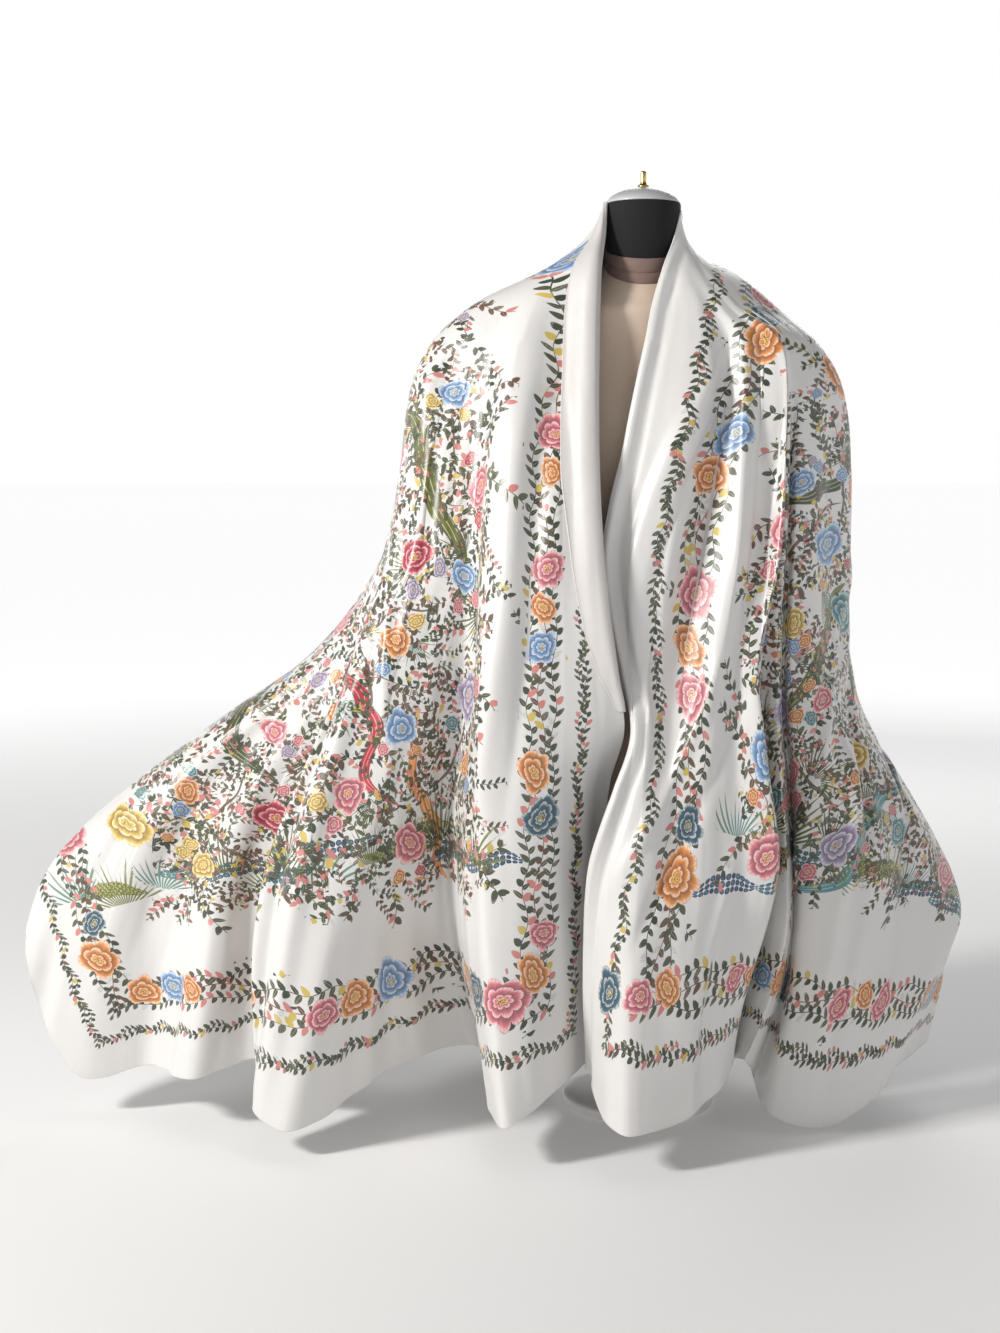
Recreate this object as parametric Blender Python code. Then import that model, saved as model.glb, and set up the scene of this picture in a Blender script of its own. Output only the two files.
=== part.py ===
"""Satin shawl draped over a limbless counter-top dress form.

Metres, +Z up, front towards -Y. The form stands on z = 0 and its axis is x = y = 0.
The cloth is one sheet, worked out from a table of fold lines that run from the
neck to the hem, and cut into the stretches that show.
"""
import math

import bmesh
import bpy
import numpy as np

CM = 0.01
WALL = 1.0e-3            # thickness of the cloth wall
SEAM = 0.4e-3            # gap between neighbouring stretches
LEAST_LEAN = 0.55        # sharpest fold that the mitre of the wall follows
COLLAR_R = 3.9          # cm, radius of the cloth round the neck
NECK_HOLLOW = 0.42       # how far out the cloth is halfway down from the collar to the first level
LAPEL_RISE = 0.75        # cm, how far the turned-back strip stands off the face
BAY_ROWS = (1, 1, 1, 1, 1, 2, 2, 2, 1, 1, 2, 2, 2, 2)   # grid rows between stations of a fold line

# Heights (cm) of the stations that all fold lines share, below the collar.
LEVELS = (86.5, 82.5, 79.5, 76.0, 68.0, 58.0, 47.0, 41.5, 36.0)

# Height (cm) of the collar edge over its angle round the neck (0 = front, 90 = photo left).
COLLAR = ((72, 93.2), (90, 92.4), (112, 91.2), (140, 90.2), (180, 89.8),
          (222, 90.2), (252, 90.6), (276, 91.5), (290, 92.4))

# One row per fold line. Columns: name, collar angle, (x, y) in cm at each of LEVELS,
# then at each quarter of the way from there down to the hem, hem height.
FOLDS = (
    ("left_edge", 72.0, ((-4.6, -4.6), (-4.8, -6.0), (-4.9, -7.0), (-5.0, -8.3), (-5.1, -10.9), (-4.7, -13.4), (-3.3, -14.4), (-2.4, -14.0), (-3.7, -12.6), (-4.2, -11.5), (-4.4, -10.9), (-4.7, -10.5), (-5.5, -10.2)), 7.5),
    ("left_band", 78.3, ((-7.2, -4.1), (-8.1, -5.5), (-8.3, -6.5), (-8.4, -7.9), (-8.7, -10.9), (-8.6, -13.7), (-8.5, -15.5), (-8.5, -16.0), (-8.5, -16.2), (-8.5, -16.5), (-8.5, -16.8), (-8.5, -17.1), (-8.7, -17.5)), 7.0),
    ("left_crest", 84.5, ((-8.3, -3.3), (-11.5, -5.4), (-12.6, -6.8), (-13.5, -8.4), (-14.8, -11.0), (-15.6, -13.3), (-16.2, -15.4), (-16.3, -16.1), (-16.4, -16.7), (-16.1, -17.8), (-15.5, -19.2), (-14.6, -20.3), (-13.7, -21.2)), 4.3),
    ("left_valley", 90.8, ((-9.0, -2.5), (-13.4, -4.1), (-15.0, -4.9), (-15.4, -5.7), (-16.5, -7.9), (-17.3, -9.7), (-17.8, -10.4), (-18.5, -10.3), (-19.5, -10.1), (-20.2, -9.3), (-20.3, -8.1), (-19.4, -6.4), (-17.6, -4.0)), 7.1),
    ("side_face", 95.8, ((-9.5, -1.9), (-14.8, -3.5), (-16.8, -4.3), (-17.7, -4.7), (-18.9, -7.1), (-19.4, -9.7), (-20.1, -11.3), (-21.0, -11.9), (-22.4, -12.4), (-23.8, -12.5), (-24.8, -12.1), (-25.3, -11.4), (-25.4, -9.5)), 6.5),
    ("side_crest", 100.2, ((-9.9, -1.4), (-16.0, -2.8), (-18.4, -3.6), (-19.5, -4.0), (-21.2, -6.4), (-22.3, -9.0), (-24.7, -11.9), (-25.9, -13.1), (-27.3, -14.2), (-29.3, -15.4), (-31.2, -16.4), (-33.3, -17.1), (-35.4, -17.6)), 2.7),
    ("side_line", 104.6, ((-10.1, -0.9), (-17.0, -2.1), (-19.7, -2.8), (-21.7, -3.5), (-23.5, -4.7), (-25.4, -6.6), (-29.7, -9.7), (-32.1, -10.8), (-34.4, -11.7), (-37.4, -12.9), (-38.8, -13.7), (-39.0, -14.2), (-39.0, -14.6)), 3.8),
    ("side_tuck", 109.0, ((-10.2, -0.5), (-17.5, -1.6), (-20.3, -2.2), (-22.2, -2.8), (-23.9, -3.7), (-25.9, -5.1), (-28.4, -5.8), (-29.9, -6.3), (-31.4, -6.6), (-33.4, -7.0), (-34.9, -7.3), (-35.5, -7.6), (-35.9, -7.8)), 6.5),
    ("wing_root", 113.4, ((-10.3, -0.1), (-17.8, -1.1), (-20.7, -1.6), (-22.6, -2.1), (-24.2, -3.0), (-26.1, -4.1), (-30.2, -3.6), (-33.2, -3.9), (-36.1, -4.1), (-38.8, -4.5), (-40.1, -5.1), (-40.3, -5.9), (-40.3, -6.8)), 6.5),
    ("wing_crest", 117.2, ((-10.4, 0.3), (-18.0, -0.6), (-21.0, -1.1), (-22.9, -1.5), (-24.4, -2.2), (-26.3, -3.2), (-31.3, -2.8), (-35.2, -3.4), (-38.8, -3.9), (-42.6, -5.2), (-43.8, -7.0), (-44.5, -8.4), (-45.6, -9.6)), 5.3),
    ("wing_valley", 121.0, ((-10.4, 0.7), (-18.1, -0.1), (-21.2, -0.6), (-23.1, -0.9), (-24.4, -1.6), (-26.4, -2.3), (-32.2, -1.7), (-36.9, -2.0), (-40.7, -2.2), (-45.4, -2.5), (-48.0, -3.0), (-49.9, -3.6), (-51.0, -4.4)), 5.1),
    ("wing_corner", 124.7, ((-10.4, 1.1), (-18.2, 0.4), (-21.3, 0.0), (-23.2, -0.3), (-24.5, -0.8), (-26.4, -1.4), (-33.4, -0.8), (-39.8, -1.1), (-46.0, -1.5), (-51.8, -2.1), (-54.9, -3.1), (-56.5, -4.0), (-57.4, -5.0)), 3.9),
    ("wing_long", 128.4, ((-10.4, 1.5), (-18.2, 0.9), (-21.3, 0.6), (-23.2, 0.3), (-24.5, -0.1), (-26.4, -0.5), (-33.9, 0.0), (-41.1, -0.1), (-48.2, -0.2), (-54.0, -0.8), (-58.0, -1.4), (-60.6, -2.2), (-62.4, -3.0)), 10.8),
    ("wing_ridge", 132.2, ((-10.3, 1.9), (-18.1, 1.4), (-21.2, 1.1), (-23.1, 0.9), (-24.4, 0.6), (-26.4, 0.4), (-34.4, 1.6), (-42.1, 2.3), (-49.7, 2.7), (-55.2, 2.7), (-59.9, 2.1), (-62.9, 1.2), (-64.1, -0.4)), 18.9),
    ("wing_behind", 138.1, ((-9.3, 3.5), (-15.6, 3.7), (-18.4, 4.0), (-20.5, 4.4), (-22.4, 5.0), (-24.3, 5.6), (-31.2, 6.0), (-37.7, 6.5), (-44.2, 7.0), (-48.6, 7.3), (-53.1, 7.6), (-57.2, 7.6), (-60.0, 7.0)), 16.2),
    ("back_left_dip", 144.7, ((-7.6, 4.7), (-12.6, 6.1), (-14.8, 6.8), (-17.1, 7.5), (-19.0, 8.6), (-21.1, 9.4), (-26.1, 9.6), (-30.1, 9.6), (-34.1, 9.6), (-37.1, 9.4), (-40.0, 9.2), (-41.8, 9.0), (-43.5, 8.8)), 12.2),
    ("back_left_flute", 151.3, ((-6.1, 5.8), (-10.2, 7.5), (-11.9, 8.3), (-13.6, 9.2), (-15.5, 10.9), (-17.1, 12.4), (-20.3, 14.0), (-22.5, 14.8), (-24.7, 15.6), (-26.6, 16.3), (-28.5, 17.0), (-29.8, 17.5), (-31.0, 18.0)), 9.2),
    ("back_left_valley", 159.2, ((-4.5, 6.5), (-7.3, 8.3), (-8.4, 9.1), (-9.5, 10.0), (-11.0, 11.2), (-12.1, 11.6), (-14.0, 11.6), (-15.3, 11.5), (-16.5, 11.5), (-17.8, 11.3), (-19.1, 11.2), (-20.0, 11.1), (-21.0, 11.0)), 7.6),
    ("back_mid_flute", 168.2, ((-2.6, 6.8), (-4.3, 8.8), (-5.0, 9.7), (-5.7, 10.7), (-6.7, 12.4), (-7.4, 13.8), (-8.4, 15.4), (-9.2, 16.3), (-10.0, 17.2), (-10.9, 18.1), (-11.7, 18.9), (-12.2, 19.6), (-12.8, 20.2)), 6.0),
    ("back_mid_valley", 178.5, ((-0.5, 6.9), (-0.8, 8.8), (-0.9, 9.7), (-1.0, 10.6), (-1.2, 11.8), (-1.5, 12.2), (-2.0, 12.4), (-2.3, 12.4), (-2.5, 12.4), (-2.8, 12.3), (-3.0, 12.2), (-3.3, 12.1), (-3.5, 12.0)), 6.4),
    ("back_right_flute", 188.6, ((2.2, 6.8), (3.5, 8.7), (4.1, 9.6), (4.8, 10.6), (5.6, 12.2), (6.2, 13.8), (6.6, 15.6), (6.8, 16.6), (7.0, 17.6), (7.1, 18.6), (7.2, 19.5), (7.1, 20.2), (7.0, 20.8)), 5.8),
    ("back_right_valley", 198.3, ((4.4, 6.2), (7.2, 8.0), (8.3, 8.8), (9.4, 9.7), (10.6, 10.7), (11.6, 11.2), (12.4, 11.2), (12.8, 11.1), (13.2, 11.0), (13.7, 10.8), (14.2, 10.6), (14.6, 10.5), (15.0, 10.4)), 7.2),
    ("back_side_flute", 207.3, ((5.9, 5.1), (10.1, 7.0), (11.8, 7.8), (13.4, 8.6), (15.2, 10.1), (16.2, 11.5), (17.4, 13.2), (18.2, 14.1), (19.0, 15.0), (20.2, 16.0), (21.4, 17.0), (22.2, 17.7), (23.0, 18.4)), 8.4),
    ("back_side_valley", 216.3, ((7.0, 3.8), (12.2, 5.1), (14.3, 5.8), (16.4, 6.5), (18.2, 7.3), (19.0, 7.9), (20.0, 8.3), (21.2, 8.5), (22.5, 8.6), (24.6, 8.6), (26.7, 8.6), (28.4, 8.3), (30.0, 8.0)), 10.2),
    ("right_corner", 224.8, ((8.4, 2.6), (13.5, 3.1), (16.6, 3.4), (18.5, 3.6), (20.1, 3.9), (20.3, 4.2), (21.3, 4.6), (23.4, 4.9), (25.6, 5.2), (28.5, 5.4), (31.2, 5.5), (32.6, 5.0), (31.4, 3.6)), 6.6),
    ("right_outline", 237.8, ((9.4, 1.1), (14.4, 1.0), (17.9, 1.0), (20.2, 1.0), (21.5, 1.0), (21.6, 1.0), (21.9, 1.0), (23.2, 1.0), (26.5, 1.3), (31.4, 2.0), (34.0, 1.1), (31.0, -1.6), (26.1, -4.5)), 4.4),
    ("right_wing_face", 245.3, ((8.7, -0.1), (13.1, -0.8), (16.4, -1.5), (18.2, -1.9), (18.7, -2.7), (18.8, -3.3), (19.3, -4.2), (20.4, -4.7), (22.9, -5.1), (26.4, -5.5), (26.9, -6.2), (25.6, -7.2), (23.4, -8.2)), 2.7),
    ("right_wing_crest", 250.6, ((8.0, -1.0), (11.8, -2.2), (15.2, -2.9), (16.3, -3.5), (16.4, -5.4), (16.5, -6.6), (16.5, -7.9), (17.0, -8.8), (18.0, -9.7), (19.5, -10.8), (20.2, -10.7), (19.7, -10.3), (18.4, -10.0)), 0.4),
    ("right_wing_inner", 254.9, ((7.5, -1.6), (11.1, -3.0), (14.4, -3.6), (15.1, -4.3), (15.0, -6.1), (14.7, -7.2), (14.4, -8.1), (14.6, -8.6), (15.2, -9.0), (15.6, -9.6), (15.3, -9.9), (14.2, -10.1), (12.5, -10.2)), 2.1),
    ("pleat_dip", 258.3, ((7.2, -2.0), (10.6, -3.4), (13.9, -4.0), (14.5, -4.7), (14.5, -5.5), (14.2, -6.3), (13.9, -6.7), (14.0, -6.8), (14.6, -6.9), (15.2, -7.1), (15.1, -7.2), (13.8, -7.2), (11.5, -7.0)), 4.4),
    ("pleat_crest", 261.5, ((6.8, -2.5), (10.1, -4.0), (13.5, -4.7), (14.0, -5.5), (14.1, -6.5), (13.7, -7.6), (13.0, -8.5), (13.0, -9.2), (13.3, -10.2), (13.8, -11.3), (13.8, -12.1), (12.5, -11.8), (10.0, -10.6)), 7.6),
    ("pleat_tuck", 264.1, ((6.4, -2.9), (9.6, -4.3), (12.9, -5.0), (13.2, -5.7), (13.2, -6.4), (12.7, -7.3), (11.6, -7.9), (11.3, -8.0), (11.5, -8.2), (11.5, -8.2), (11.2, -8.1), (10.2, -7.7), (9.3, -7.0)), 6.7),
    ("right_crest", 267.9, ((6.0, -3.3), (9.1, -4.9), (13.0, -6.2), (13.8, -7.3), (13.5, -9.1), (12.7, -11.4), (10.6, -13.1), (10.8, -14.0), (11.4, -14.8), (12.3, -15.8), (11.4, -15.0), (9.9, -13.3), (8.9, -10.4)), 8.4),
    ("right_dip", 272.2, ((5.5, -3.6), (8.2, -5.1), (11.2, -5.9), (11.2, -6.5), (10.9, -8.4), (9.9, -10.5), (8.5, -12.3), (8.4, -13.3), (8.6, -14.2), (9.1, -15.7), (8.4, -16.1), (7.1, -16.0), (7.1, -15.0)), 6.4),
    ("right_ridge", 276.5, ((5.0, -4.0), (7.3, -5.5), (9.4, -6.5), (9.7, -7.4), (9.3, -9.9), (8.5, -12.2), (6.6, -13.6), (5.8, -14.6), (5.2, -15.7), (5.0, -17.4), (4.1, -18.7), (3.4, -19.5), (3.1, -20.0)), 4.7),
    ("right_valley", 280.3, ((4.4, -4.3), (6.4, -5.5), (8.0, -5.7), (7.7, -6.4), (6.6, -8.1), (4.8, -10.0), (2.7, -12.2), (2.0, -13.7), (1.7, -15.5), (1.4, -18.0), (0.8, -19.8), (0.2, -21.1), (-0.1, -22.0)), 4.2),
    ("right_fold", 283.6, ((3.8, -4.5), (5.2, -6.0), (5.9, -6.9), (6.0, -8.0), (4.1, -10.5), (1.8, -12.8), (-0.0, -13.5), (-0.4, -15.0), (-0.8, -16.7), (-1.4, -18.9), (-2.1, -20.6), (-2.4, -21.8), (-2.4, -22.8)), 4.0),
    ("right_band", 286.8, ((2.8, -4.8), (3.0, -6.0), (2.6, -6.9), (2.2, -8.0), (0.5, -10.2), (-1.9, -12.0), (-1.9, -13.1), (-1.4, -14.9), (-2.4, -16.5), (-4.0, -18.0), (-4.4, -18.8), (-4.6, -19.1), (-4.7, -19.0)), 5.1),
    ("right_edge", 290.0, ((1.6, -5.0), (0.4, -6.2), (-0.2, -7.0), (-1.0, -7.9), (-2.7, -9.9), (-4.7, -11.6), (-2.9, -12.5), (-1.8, -14.5), (-3.7, -16.6), (-5.9, -17.1), (-6.3, -16.7), (-6.2, -16.0), (-5.7, -15.0)), 8.6),
)

# Grid columns laid between a fold line and the next one.
SPLITS = {
    "left_edge": 4, "left_band": 3, "left_crest": 3, "left_valley": 3, "side_face": 3,
    "side_crest": 3, "side_line": 2, "side_tuck": 2, "wing_root": 2, "wing_crest": 3,
    "wing_valley": 3, "wing_corner": 2, "wing_long": 3, "wing_ridge": 3, "wing_behind": 3,
    "back_left_dip": 3, "back_left_flute": 3, "back_left_valley": 2, "back_mid_flute": 3,
    "back_mid_valley": 2, "back_right_flute": 3, "back_right_valley": 3, "back_side_flute": 3,
    "back_side_valley": 2, "right_corner": 2, "right_outline": 2, "right_wing_face": 3,
    "right_wing_crest": 3, "right_wing_inner": 3, "pleat_dip": 3, "pleat_crest": 3,
    "pleat_tuck": 3, "right_crest": 2, "right_dip": 2, "right_ridge": 2, "right_valley": 3,
    "right_fold": 2, "right_band": 2,
}

# One row per stretch of cloth, each ending where the next begins.
# Columns: node, fold line it begins at, grid columns past that line.
STRETCHES = (
    ("scarf_left_front", "left_edge", 0),
    ("scarf_left_side", "left_valley", 2),
    ("scarf_left_wing", "side_line", 1),
    ("scarf_back_left", "wing_ridge", 2),
    ("scarf_back_right", "back_mid_valley", 1),
    ("scarf_right_wing", "right_corner", 1),
    ("scarf_right_pleats", "right_wing_inner", 1),
    ("scarf_right_front", "right_crest", 1),
)

# Turned-back strip: share of the first bay that it covers, by height (cm).
LAPEL = ((94.0, 1.0), (66.0, 1.0), (58.0, 0.78), (51.0, 0.55), (46.5, 0.32), (43.5, 0.12))
LAPEL_COLUMNS = 5

# Torso of the form. Columns: height on the axis, lean, half width, front reach, back reach (cm).
# Lean is the rise of a section per cm towards the back.
TORSO = (
    (86.75, 0.50, 3.78, 3.78, 3.78), (86.1, 0.46, 4.6, 4.2, 4.5), (85.1, 0.37, 6.5, 4.6, 5.5),
    (83.6, 0.25, 9.8, 5.2, 6.4), (81.8, 0.17, 12.4, 5.2, 6.9), (79.8, 0.10, 14.6, 5.3, 7.4),
    (77.6, 0.04, 16.2, 5.7, 7.9), (75.2, 0.0, 17.0, 6.3, 8.3), (71.5, 0.0, 17.2, 7.4, 8.8),
    (67.0, 0.0, 16.4, 8.0, 9.2), (62.0, 0.0, 15.0, 7.9, 8.9), (56.0, 0.0, 13.2, 7.6, 8.4),
    (50.0, 0.0, 12.4, 7.6, 8.2), (45.0, 0.0, 13.4, 8.2, 8.8), (39.0, 0.0, 15.0, 8.8, 9.6),
    (34.0, 0.0, 15.4, 8.9, 9.8), (32.4, 0.0, 15.0, 8.6, 9.5), (31.8, 0.0, 14.2, 8.0, 8.9),
)
TORSO_SIDES = 56

# Turned parts of the form. Columns: radius, height on the axis (cm), lean.
NECK_BAND = ((0.0, 86.78, 0.50), (3.74, 86.78, 0.50), (3.8, 86.95, 0.50), (3.8, 87.55, 0.46),
             (3.68, 87.65, 0.45), (3.78, 87.75, 0.44), (3.78, 88.5, 0.34), (3.74, 88.6, 0.32), (0.0, 88.6, 0.32))
NECK = ((0.0, 88.63, 0.32), (3.78, 88.63, 0.32), (3.78, 93.0, 0.0), (3.72, 93.2, 0.0), (0.0, 93.2, 0.0))
CAP = ((0.0, 93.23, 0.0), (3.7, 93.23, 0.0), (3.68, 93.45, 0.0), (3.2, 93.98, 0.0), (2.3, 94.45, 0.0),
       (1.2, 94.74, 0.0), (0.0, 94.8, 0.0))
FINIAL = ((0.0, 94.83, 0.0), (0.56, 94.83, 0.0), (0.6, 94.95, 0.0), (0.5, 95.12, 0.0), (0.33, 95.2, 0.0),
          (0.3, 95.5, 0.0), (0.3, 96.35, 0.0), (0.22, 96.45, 0.0), (0.0, 96.45, 0.0))
POST = ((0.0, 1.33, 0.0), (1.5, 1.33, 0.0), (1.5, 31.77, 0.0), (0.0, 31.77, 0.0))
BASE = ((0.0, 0.0, 0.0), (7.9, 0.0, 0.0), (8.0, 0.1, 0.0), (8.0, 0.8, 0.0), (7.7, 1.1, 0.0), (7.1, 1.3, 0.0),
        (0.0, 1.3, 0.0))
ROUND_SIDES = 64


def stations():
    """Fold lines as an array (line, station, xyz) in cm, collar first and hem last."""
    angles, heights = zip(*COLLAR)
    lines = []
    for _, angle, places, hem in FOLDS:
        turn = math.radians(angle)
        top = (-COLLAR_R * math.sin(turn), -COLLAR_R * math.cos(turn), float(np.interp(angle, angles, heights)))
        last = LEVELS[-1]
        half = [c + (p - c) * NECK_HOLLOW for c, p in zip(top, places[0])] + [(top[2] + LEVELS[0]) / 2]
        drops = LEVELS + tuple(last + (hem - last) * k / 4 for k in (1, 2, 3, 4))
        lines.append([top, half] + [(x, y, z) for (x, y), z in zip(places, drops)])
    return np.array(lines, dtype=float)


def tangents(points, gaps, axis):
    """Slopes of a smooth curve through the points, per unit of length along one axis."""
    p = np.moveaxis(points, axis, 0)
    g = np.moveaxis(gaps, axis, 0)[..., None]
    step = (p[1:] - p[:-1]) / g
    out = np.empty_like(p)
    out[1:-1] = (step[1:] * g[:-1] + step[:-1] * g[1:]) / (g[1:] + g[:-1])
    out[0], out[-1] = step[0], step[-1]
    return np.moveaxis(out, 0, axis)


def refine(points, counts, axis):
    """A smooth curve through the points along one axis, with counts[i] steps in bay i."""
    p = np.moveaxis(points, axis, 0)
    gaps = np.linalg.norm(p[1:] - p[:-1], axis=-1) + 1e-6
    slopes = tangents(p, gaps, 0)
    rows = []
    for i, n in enumerate(counts):
        for k in range(n):
            t = k / n
            g = gaps[i][..., None]
            h00, h10 = 2 * t**3 - 3 * t**2 + 1, t**3 - 2 * t**2 + t
            h01, h11 = -2 * t**3 + 3 * t**2, t**3 - t**2
            rows.append(h00 * p[i] + h10 * g * slopes[i] + h01 * p[i + 1] + h11 * g * slopes[i + 1])
    rows.append(p[-1])
    return np.moveaxis(np.array(rows), 0, axis)


def mitre(grid, drop, normal):
    """How much longer a normal has to be for the walls beside a sharp fold to keep their thickness."""
    face = np.cross(grid[1:] - grid[:-1], drop[1:] + drop[:-1])
    face /= np.linalg.norm(face, axis=-1, keepdims=True)
    lean = np.ones(grid.shape[:2])
    lean[:-1] = np.minimum(lean[:-1], (normal[:-1] * face).sum(-1))
    lean[1:] = np.minimum(lean[1:], (normal[1:] * face).sum(-1))
    return 1 / np.clip(lean, LEAST_LEAN, 1.0)[..., None]


def sheet():
    """Grid of the whole cloth (column, row, xyz) in metres, and its outward normals."""
    names = [row[0] for row in FOLDS]
    lines = stations()
    down = refine(lines, BAY_ROWS, 1)
    grid = refine(down, [SPLITS[n] for n in names[:-1]], 0) * CM
    along = np.gradient(grid, axis=0)
    drop = np.gradient(grid, axis=1)
    normal = np.cross(along, drop)
    normal /= np.linalg.norm(normal, axis=-1, keepdims=True) + 1e-12
    normal *= mitre(grid, drop, normal)
    starts, at = {}, 0
    for name in names:
        starts[name] = at
        at += SPLITS.get(name, 0)
    return grid, normal, starts


def pull_in(grid, cut_first, cut_last):
    """Moves the first and last column inwards by half a seam gap where they are cut."""
    grid = grid.copy()
    for is_cut, edge, inner in ((cut_first, 0, 1), (cut_last, -1, -2)):
        if is_cut:
            way = grid[inner] - grid[edge]
            run = np.gradient(grid[edge], axis=0)
            run /= np.linalg.norm(run, axis=-1, keepdims=True)
            way = way - (way * run).sum(-1, keepdims=True) * run
            grid[edge] += way / np.linalg.norm(way, axis=-1, keepdims=True) * SEAM / 2
    return grid


def wall(name, grid, normal, material):
    """A closed wall of cloth on a grid of points, half its thickness to each side."""
    n, m = grid.shape[:2]
    mesh = bpy.data.meshes.new(name)
    bm = bmesh.new()
    sides = []
    for sign in (0.5, -0.5):
        layer = grid + normal * sign * WALL
        sides.append([[bm.verts.new(layer[i, j]) for j in range(m)] for i in range(n)])
    outer, inner = sides
    for i in range(n - 1):
        for j in range(m - 1):
            bm.faces.new((outer[i][j], outer[i + 1][j], outer[i + 1][j + 1], outer[i][j + 1]))
            bm.faces.new((inner[i][j], inner[i][j + 1], inner[i + 1][j + 1], inner[i + 1][j]))
    rim = [(i, 0) for i in range(n)] + [(n - 1, j) for j in range(1, m)]
    rim += [(i, m - 1) for i in range(n - 2, -1, -1)] + [(0, j) for j in range(m - 2, 0, -1)]
    for (a, b), (c, d) in zip(rim, rim[1:] + rim[:1]):
        bm.faces.new((outer[a][b], inner[a][b], inner[c][d], outer[c][d]))
    bmesh.ops.recalc_face_normals(bm, faces=bm.faces[:])
    bm.to_mesh(mesh)
    bm.free()
    return place(name, mesh, material)


def place(name, mesh, material):
    """Links a mesh as an object of the parts collection with its material."""
    mesh.materials.append(material)
    obj = bpy.data.objects.new(name, mesh)
    parts.objects.link(obj)
    return obj


def lapel(grid, normal, starts):
    """Grid of the strip that is turned back over the first bay, and its normals."""
    bay = starts["left_band"]
    heights, shares = zip(*reversed(LAPEL))
    rows = [j for j in range(grid.shape[1]) if grid[0, j, 2] / CM > heights[0]]
    out, out_n = [], []
    for k in range(LAPEL_COLUMNS + 1):
        part = k / LAPEL_COLUMNS
        line, line_n = [], []
        for j in rows:
            share = float(np.interp(grid[0, j, 2] / CM, heights, shares))
            at = share * part * bay
            i = min(int(at), bay - 1)
            f = at - i
            spot = grid[i, j] * (1 - f) + grid[i + 1, j] * f
            face = normal[i, j] * (1 - f) + normal[i + 1, j] * f
            face /= np.linalg.norm(face)
            reach = float(np.linalg.norm(grid[bay, j] - grid[0, j])) * share
            tall = min(LAPEL_RISE * CM, 0.35 * reach) + 1.7e-3
            lift = tall * (math.sin(min(1.0, part / 0.3) * math.pi / 2) * (1 - 0.45 * part)) if k else 0.0
            line.append(spot + face * max(lift, WALL + 2 * SEAM))
            line_n.append(face)
        out.append(line)
        out_n.append(line_n)
    strip = np.array(out)
    along, drop = np.gradient(strip, axis=0), np.gradient(strip, axis=1)
    face = np.cross(along, drop)
    face /= np.linalg.norm(face, axis=-1, keepdims=True) + 1e-12
    return strip, face


def turned(name, profile, material):
    """A turned solid from rows of (radius, height, lean) that start and end on the axis."""
    mesh = bpy.data.meshes.new(name)
    bm = bmesh.new()
    rings = []
    for radius, height, lean in profile:
        ring = []
        for k in range(ROUND_SIDES if radius else 1):
            turn = 2 * math.pi * k / ROUND_SIDES
            y = radius * math.sin(turn)
            ring.append(bm.verts.new((radius * CM * math.cos(turn), y * CM, (height + lean * y) * CM)))
        rings.append(ring)
    skin(bm, rings)
    bmesh.ops.recalc_face_normals(bm, faces=bm.faces[:])
    bm.to_mesh(mesh)
    bm.free()
    return place(name, mesh, material)


def skin(bm, rings):
    """Joins neighbouring rings, where a ring of one point is a tip or the middle of a flat."""
    for low, high in zip(rings, rings[1:]):
        count = max(len(low), len(high))
        for k in range(count):
            n = (k + 1) % count
            if len(low) == 1:
                bm.faces.new((low[0], high[k], high[n]))
            elif len(high) == 1:
                bm.faces.new((low[k], low[n], high[0]))
            else:
                bm.faces.new((low[k], low[n], high[n], high[k]))


def torso(name, material):
    """The closed body of the form, lofted through the rows of TORSO."""
    mesh = bpy.data.meshes.new(name)
    bm = bmesh.new()
    rings = [[bm.verts.new((0, 0, TORSO[0][0] * CM))]]
    for height, lean, half, front, back in TORSO:
        ring = []
        for k in range(TORSO_SIDES):
            turn = 2 * math.pi * k / TORSO_SIDES
            x, s = half * math.cos(turn), math.sin(turn)
            y = s * (back if s > 0 else front)
            ring.append(bm.verts.new((x * CM, y * CM, (height + lean * y) * CM)))
        rings.append(ring)
    rings.append([bm.verts.new((0, 0, TORSO[-1][0] * CM))])
    skin(bm, rings)
    bmesh.ops.recalc_face_normals(bm, faces=bm.faces[:])
    bm.to_mesh(mesh)
    bm.free()
    return place(name, mesh, material)


def finish(name, colour, rough, metal=0.0):
    """A plain Principled material."""
    mat = bpy.data.materials.new(name)
    mat.use_nodes = True
    shader = mat.node_tree.nodes["Principled BSDF"]
    shader.inputs["Base Color"].default_value = (*colour, 1)
    shader.inputs["Roughness"].default_value = rough
    shader.inputs["Metallic"].default_value = metal
    return mat


for old in list(bpy.data.objects):
    bpy.data.objects.remove(old)
parts = bpy.data.collections.new("parts")
bpy.context.scene.collection.children.link(parts)

satin = finish("printed_satin", (0.86, 0.84, 0.82), 0.35)
reverse = finish("satin_reverse", (0.80, 0.79, 0.78), 0.45)
jersey = finish("beige_jersey", (0.72, 0.62, 0.52), 0.85)
black = finish("black_velvet", (0.02, 0.02, 0.022), 0.8)
taupe = finish("taupe_band", (0.26, 0.2, 0.17), 0.7)
cap_grey = finish("grey_cap", (0.62, 0.63, 0.64), 0.4)
brass = finish("brass", (0.78, 0.6, 0.28), 0.25, 1.0)
steel = finish("painted_stand", (0.86, 0.86, 0.85), 0.35)

GRID, NORMAL, START = sheet()
begins = [START[line] + past for _, line, past in STRETCHES] + [GRID.shape[0] - 1]
for (node, _, _), a, b in zip(STRETCHES, begins, begins[1:]):
    piece = pull_in(GRID[a:b + 1], a > 0, b < GRID.shape[0] - 1)
    wall(node, piece, NORMAL[a:b + 1], satin)
strip, strip_normal = lapel(GRID, NORMAL, START)
wall("scarf_left_lapel", strip, strip_normal, reverse)

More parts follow.
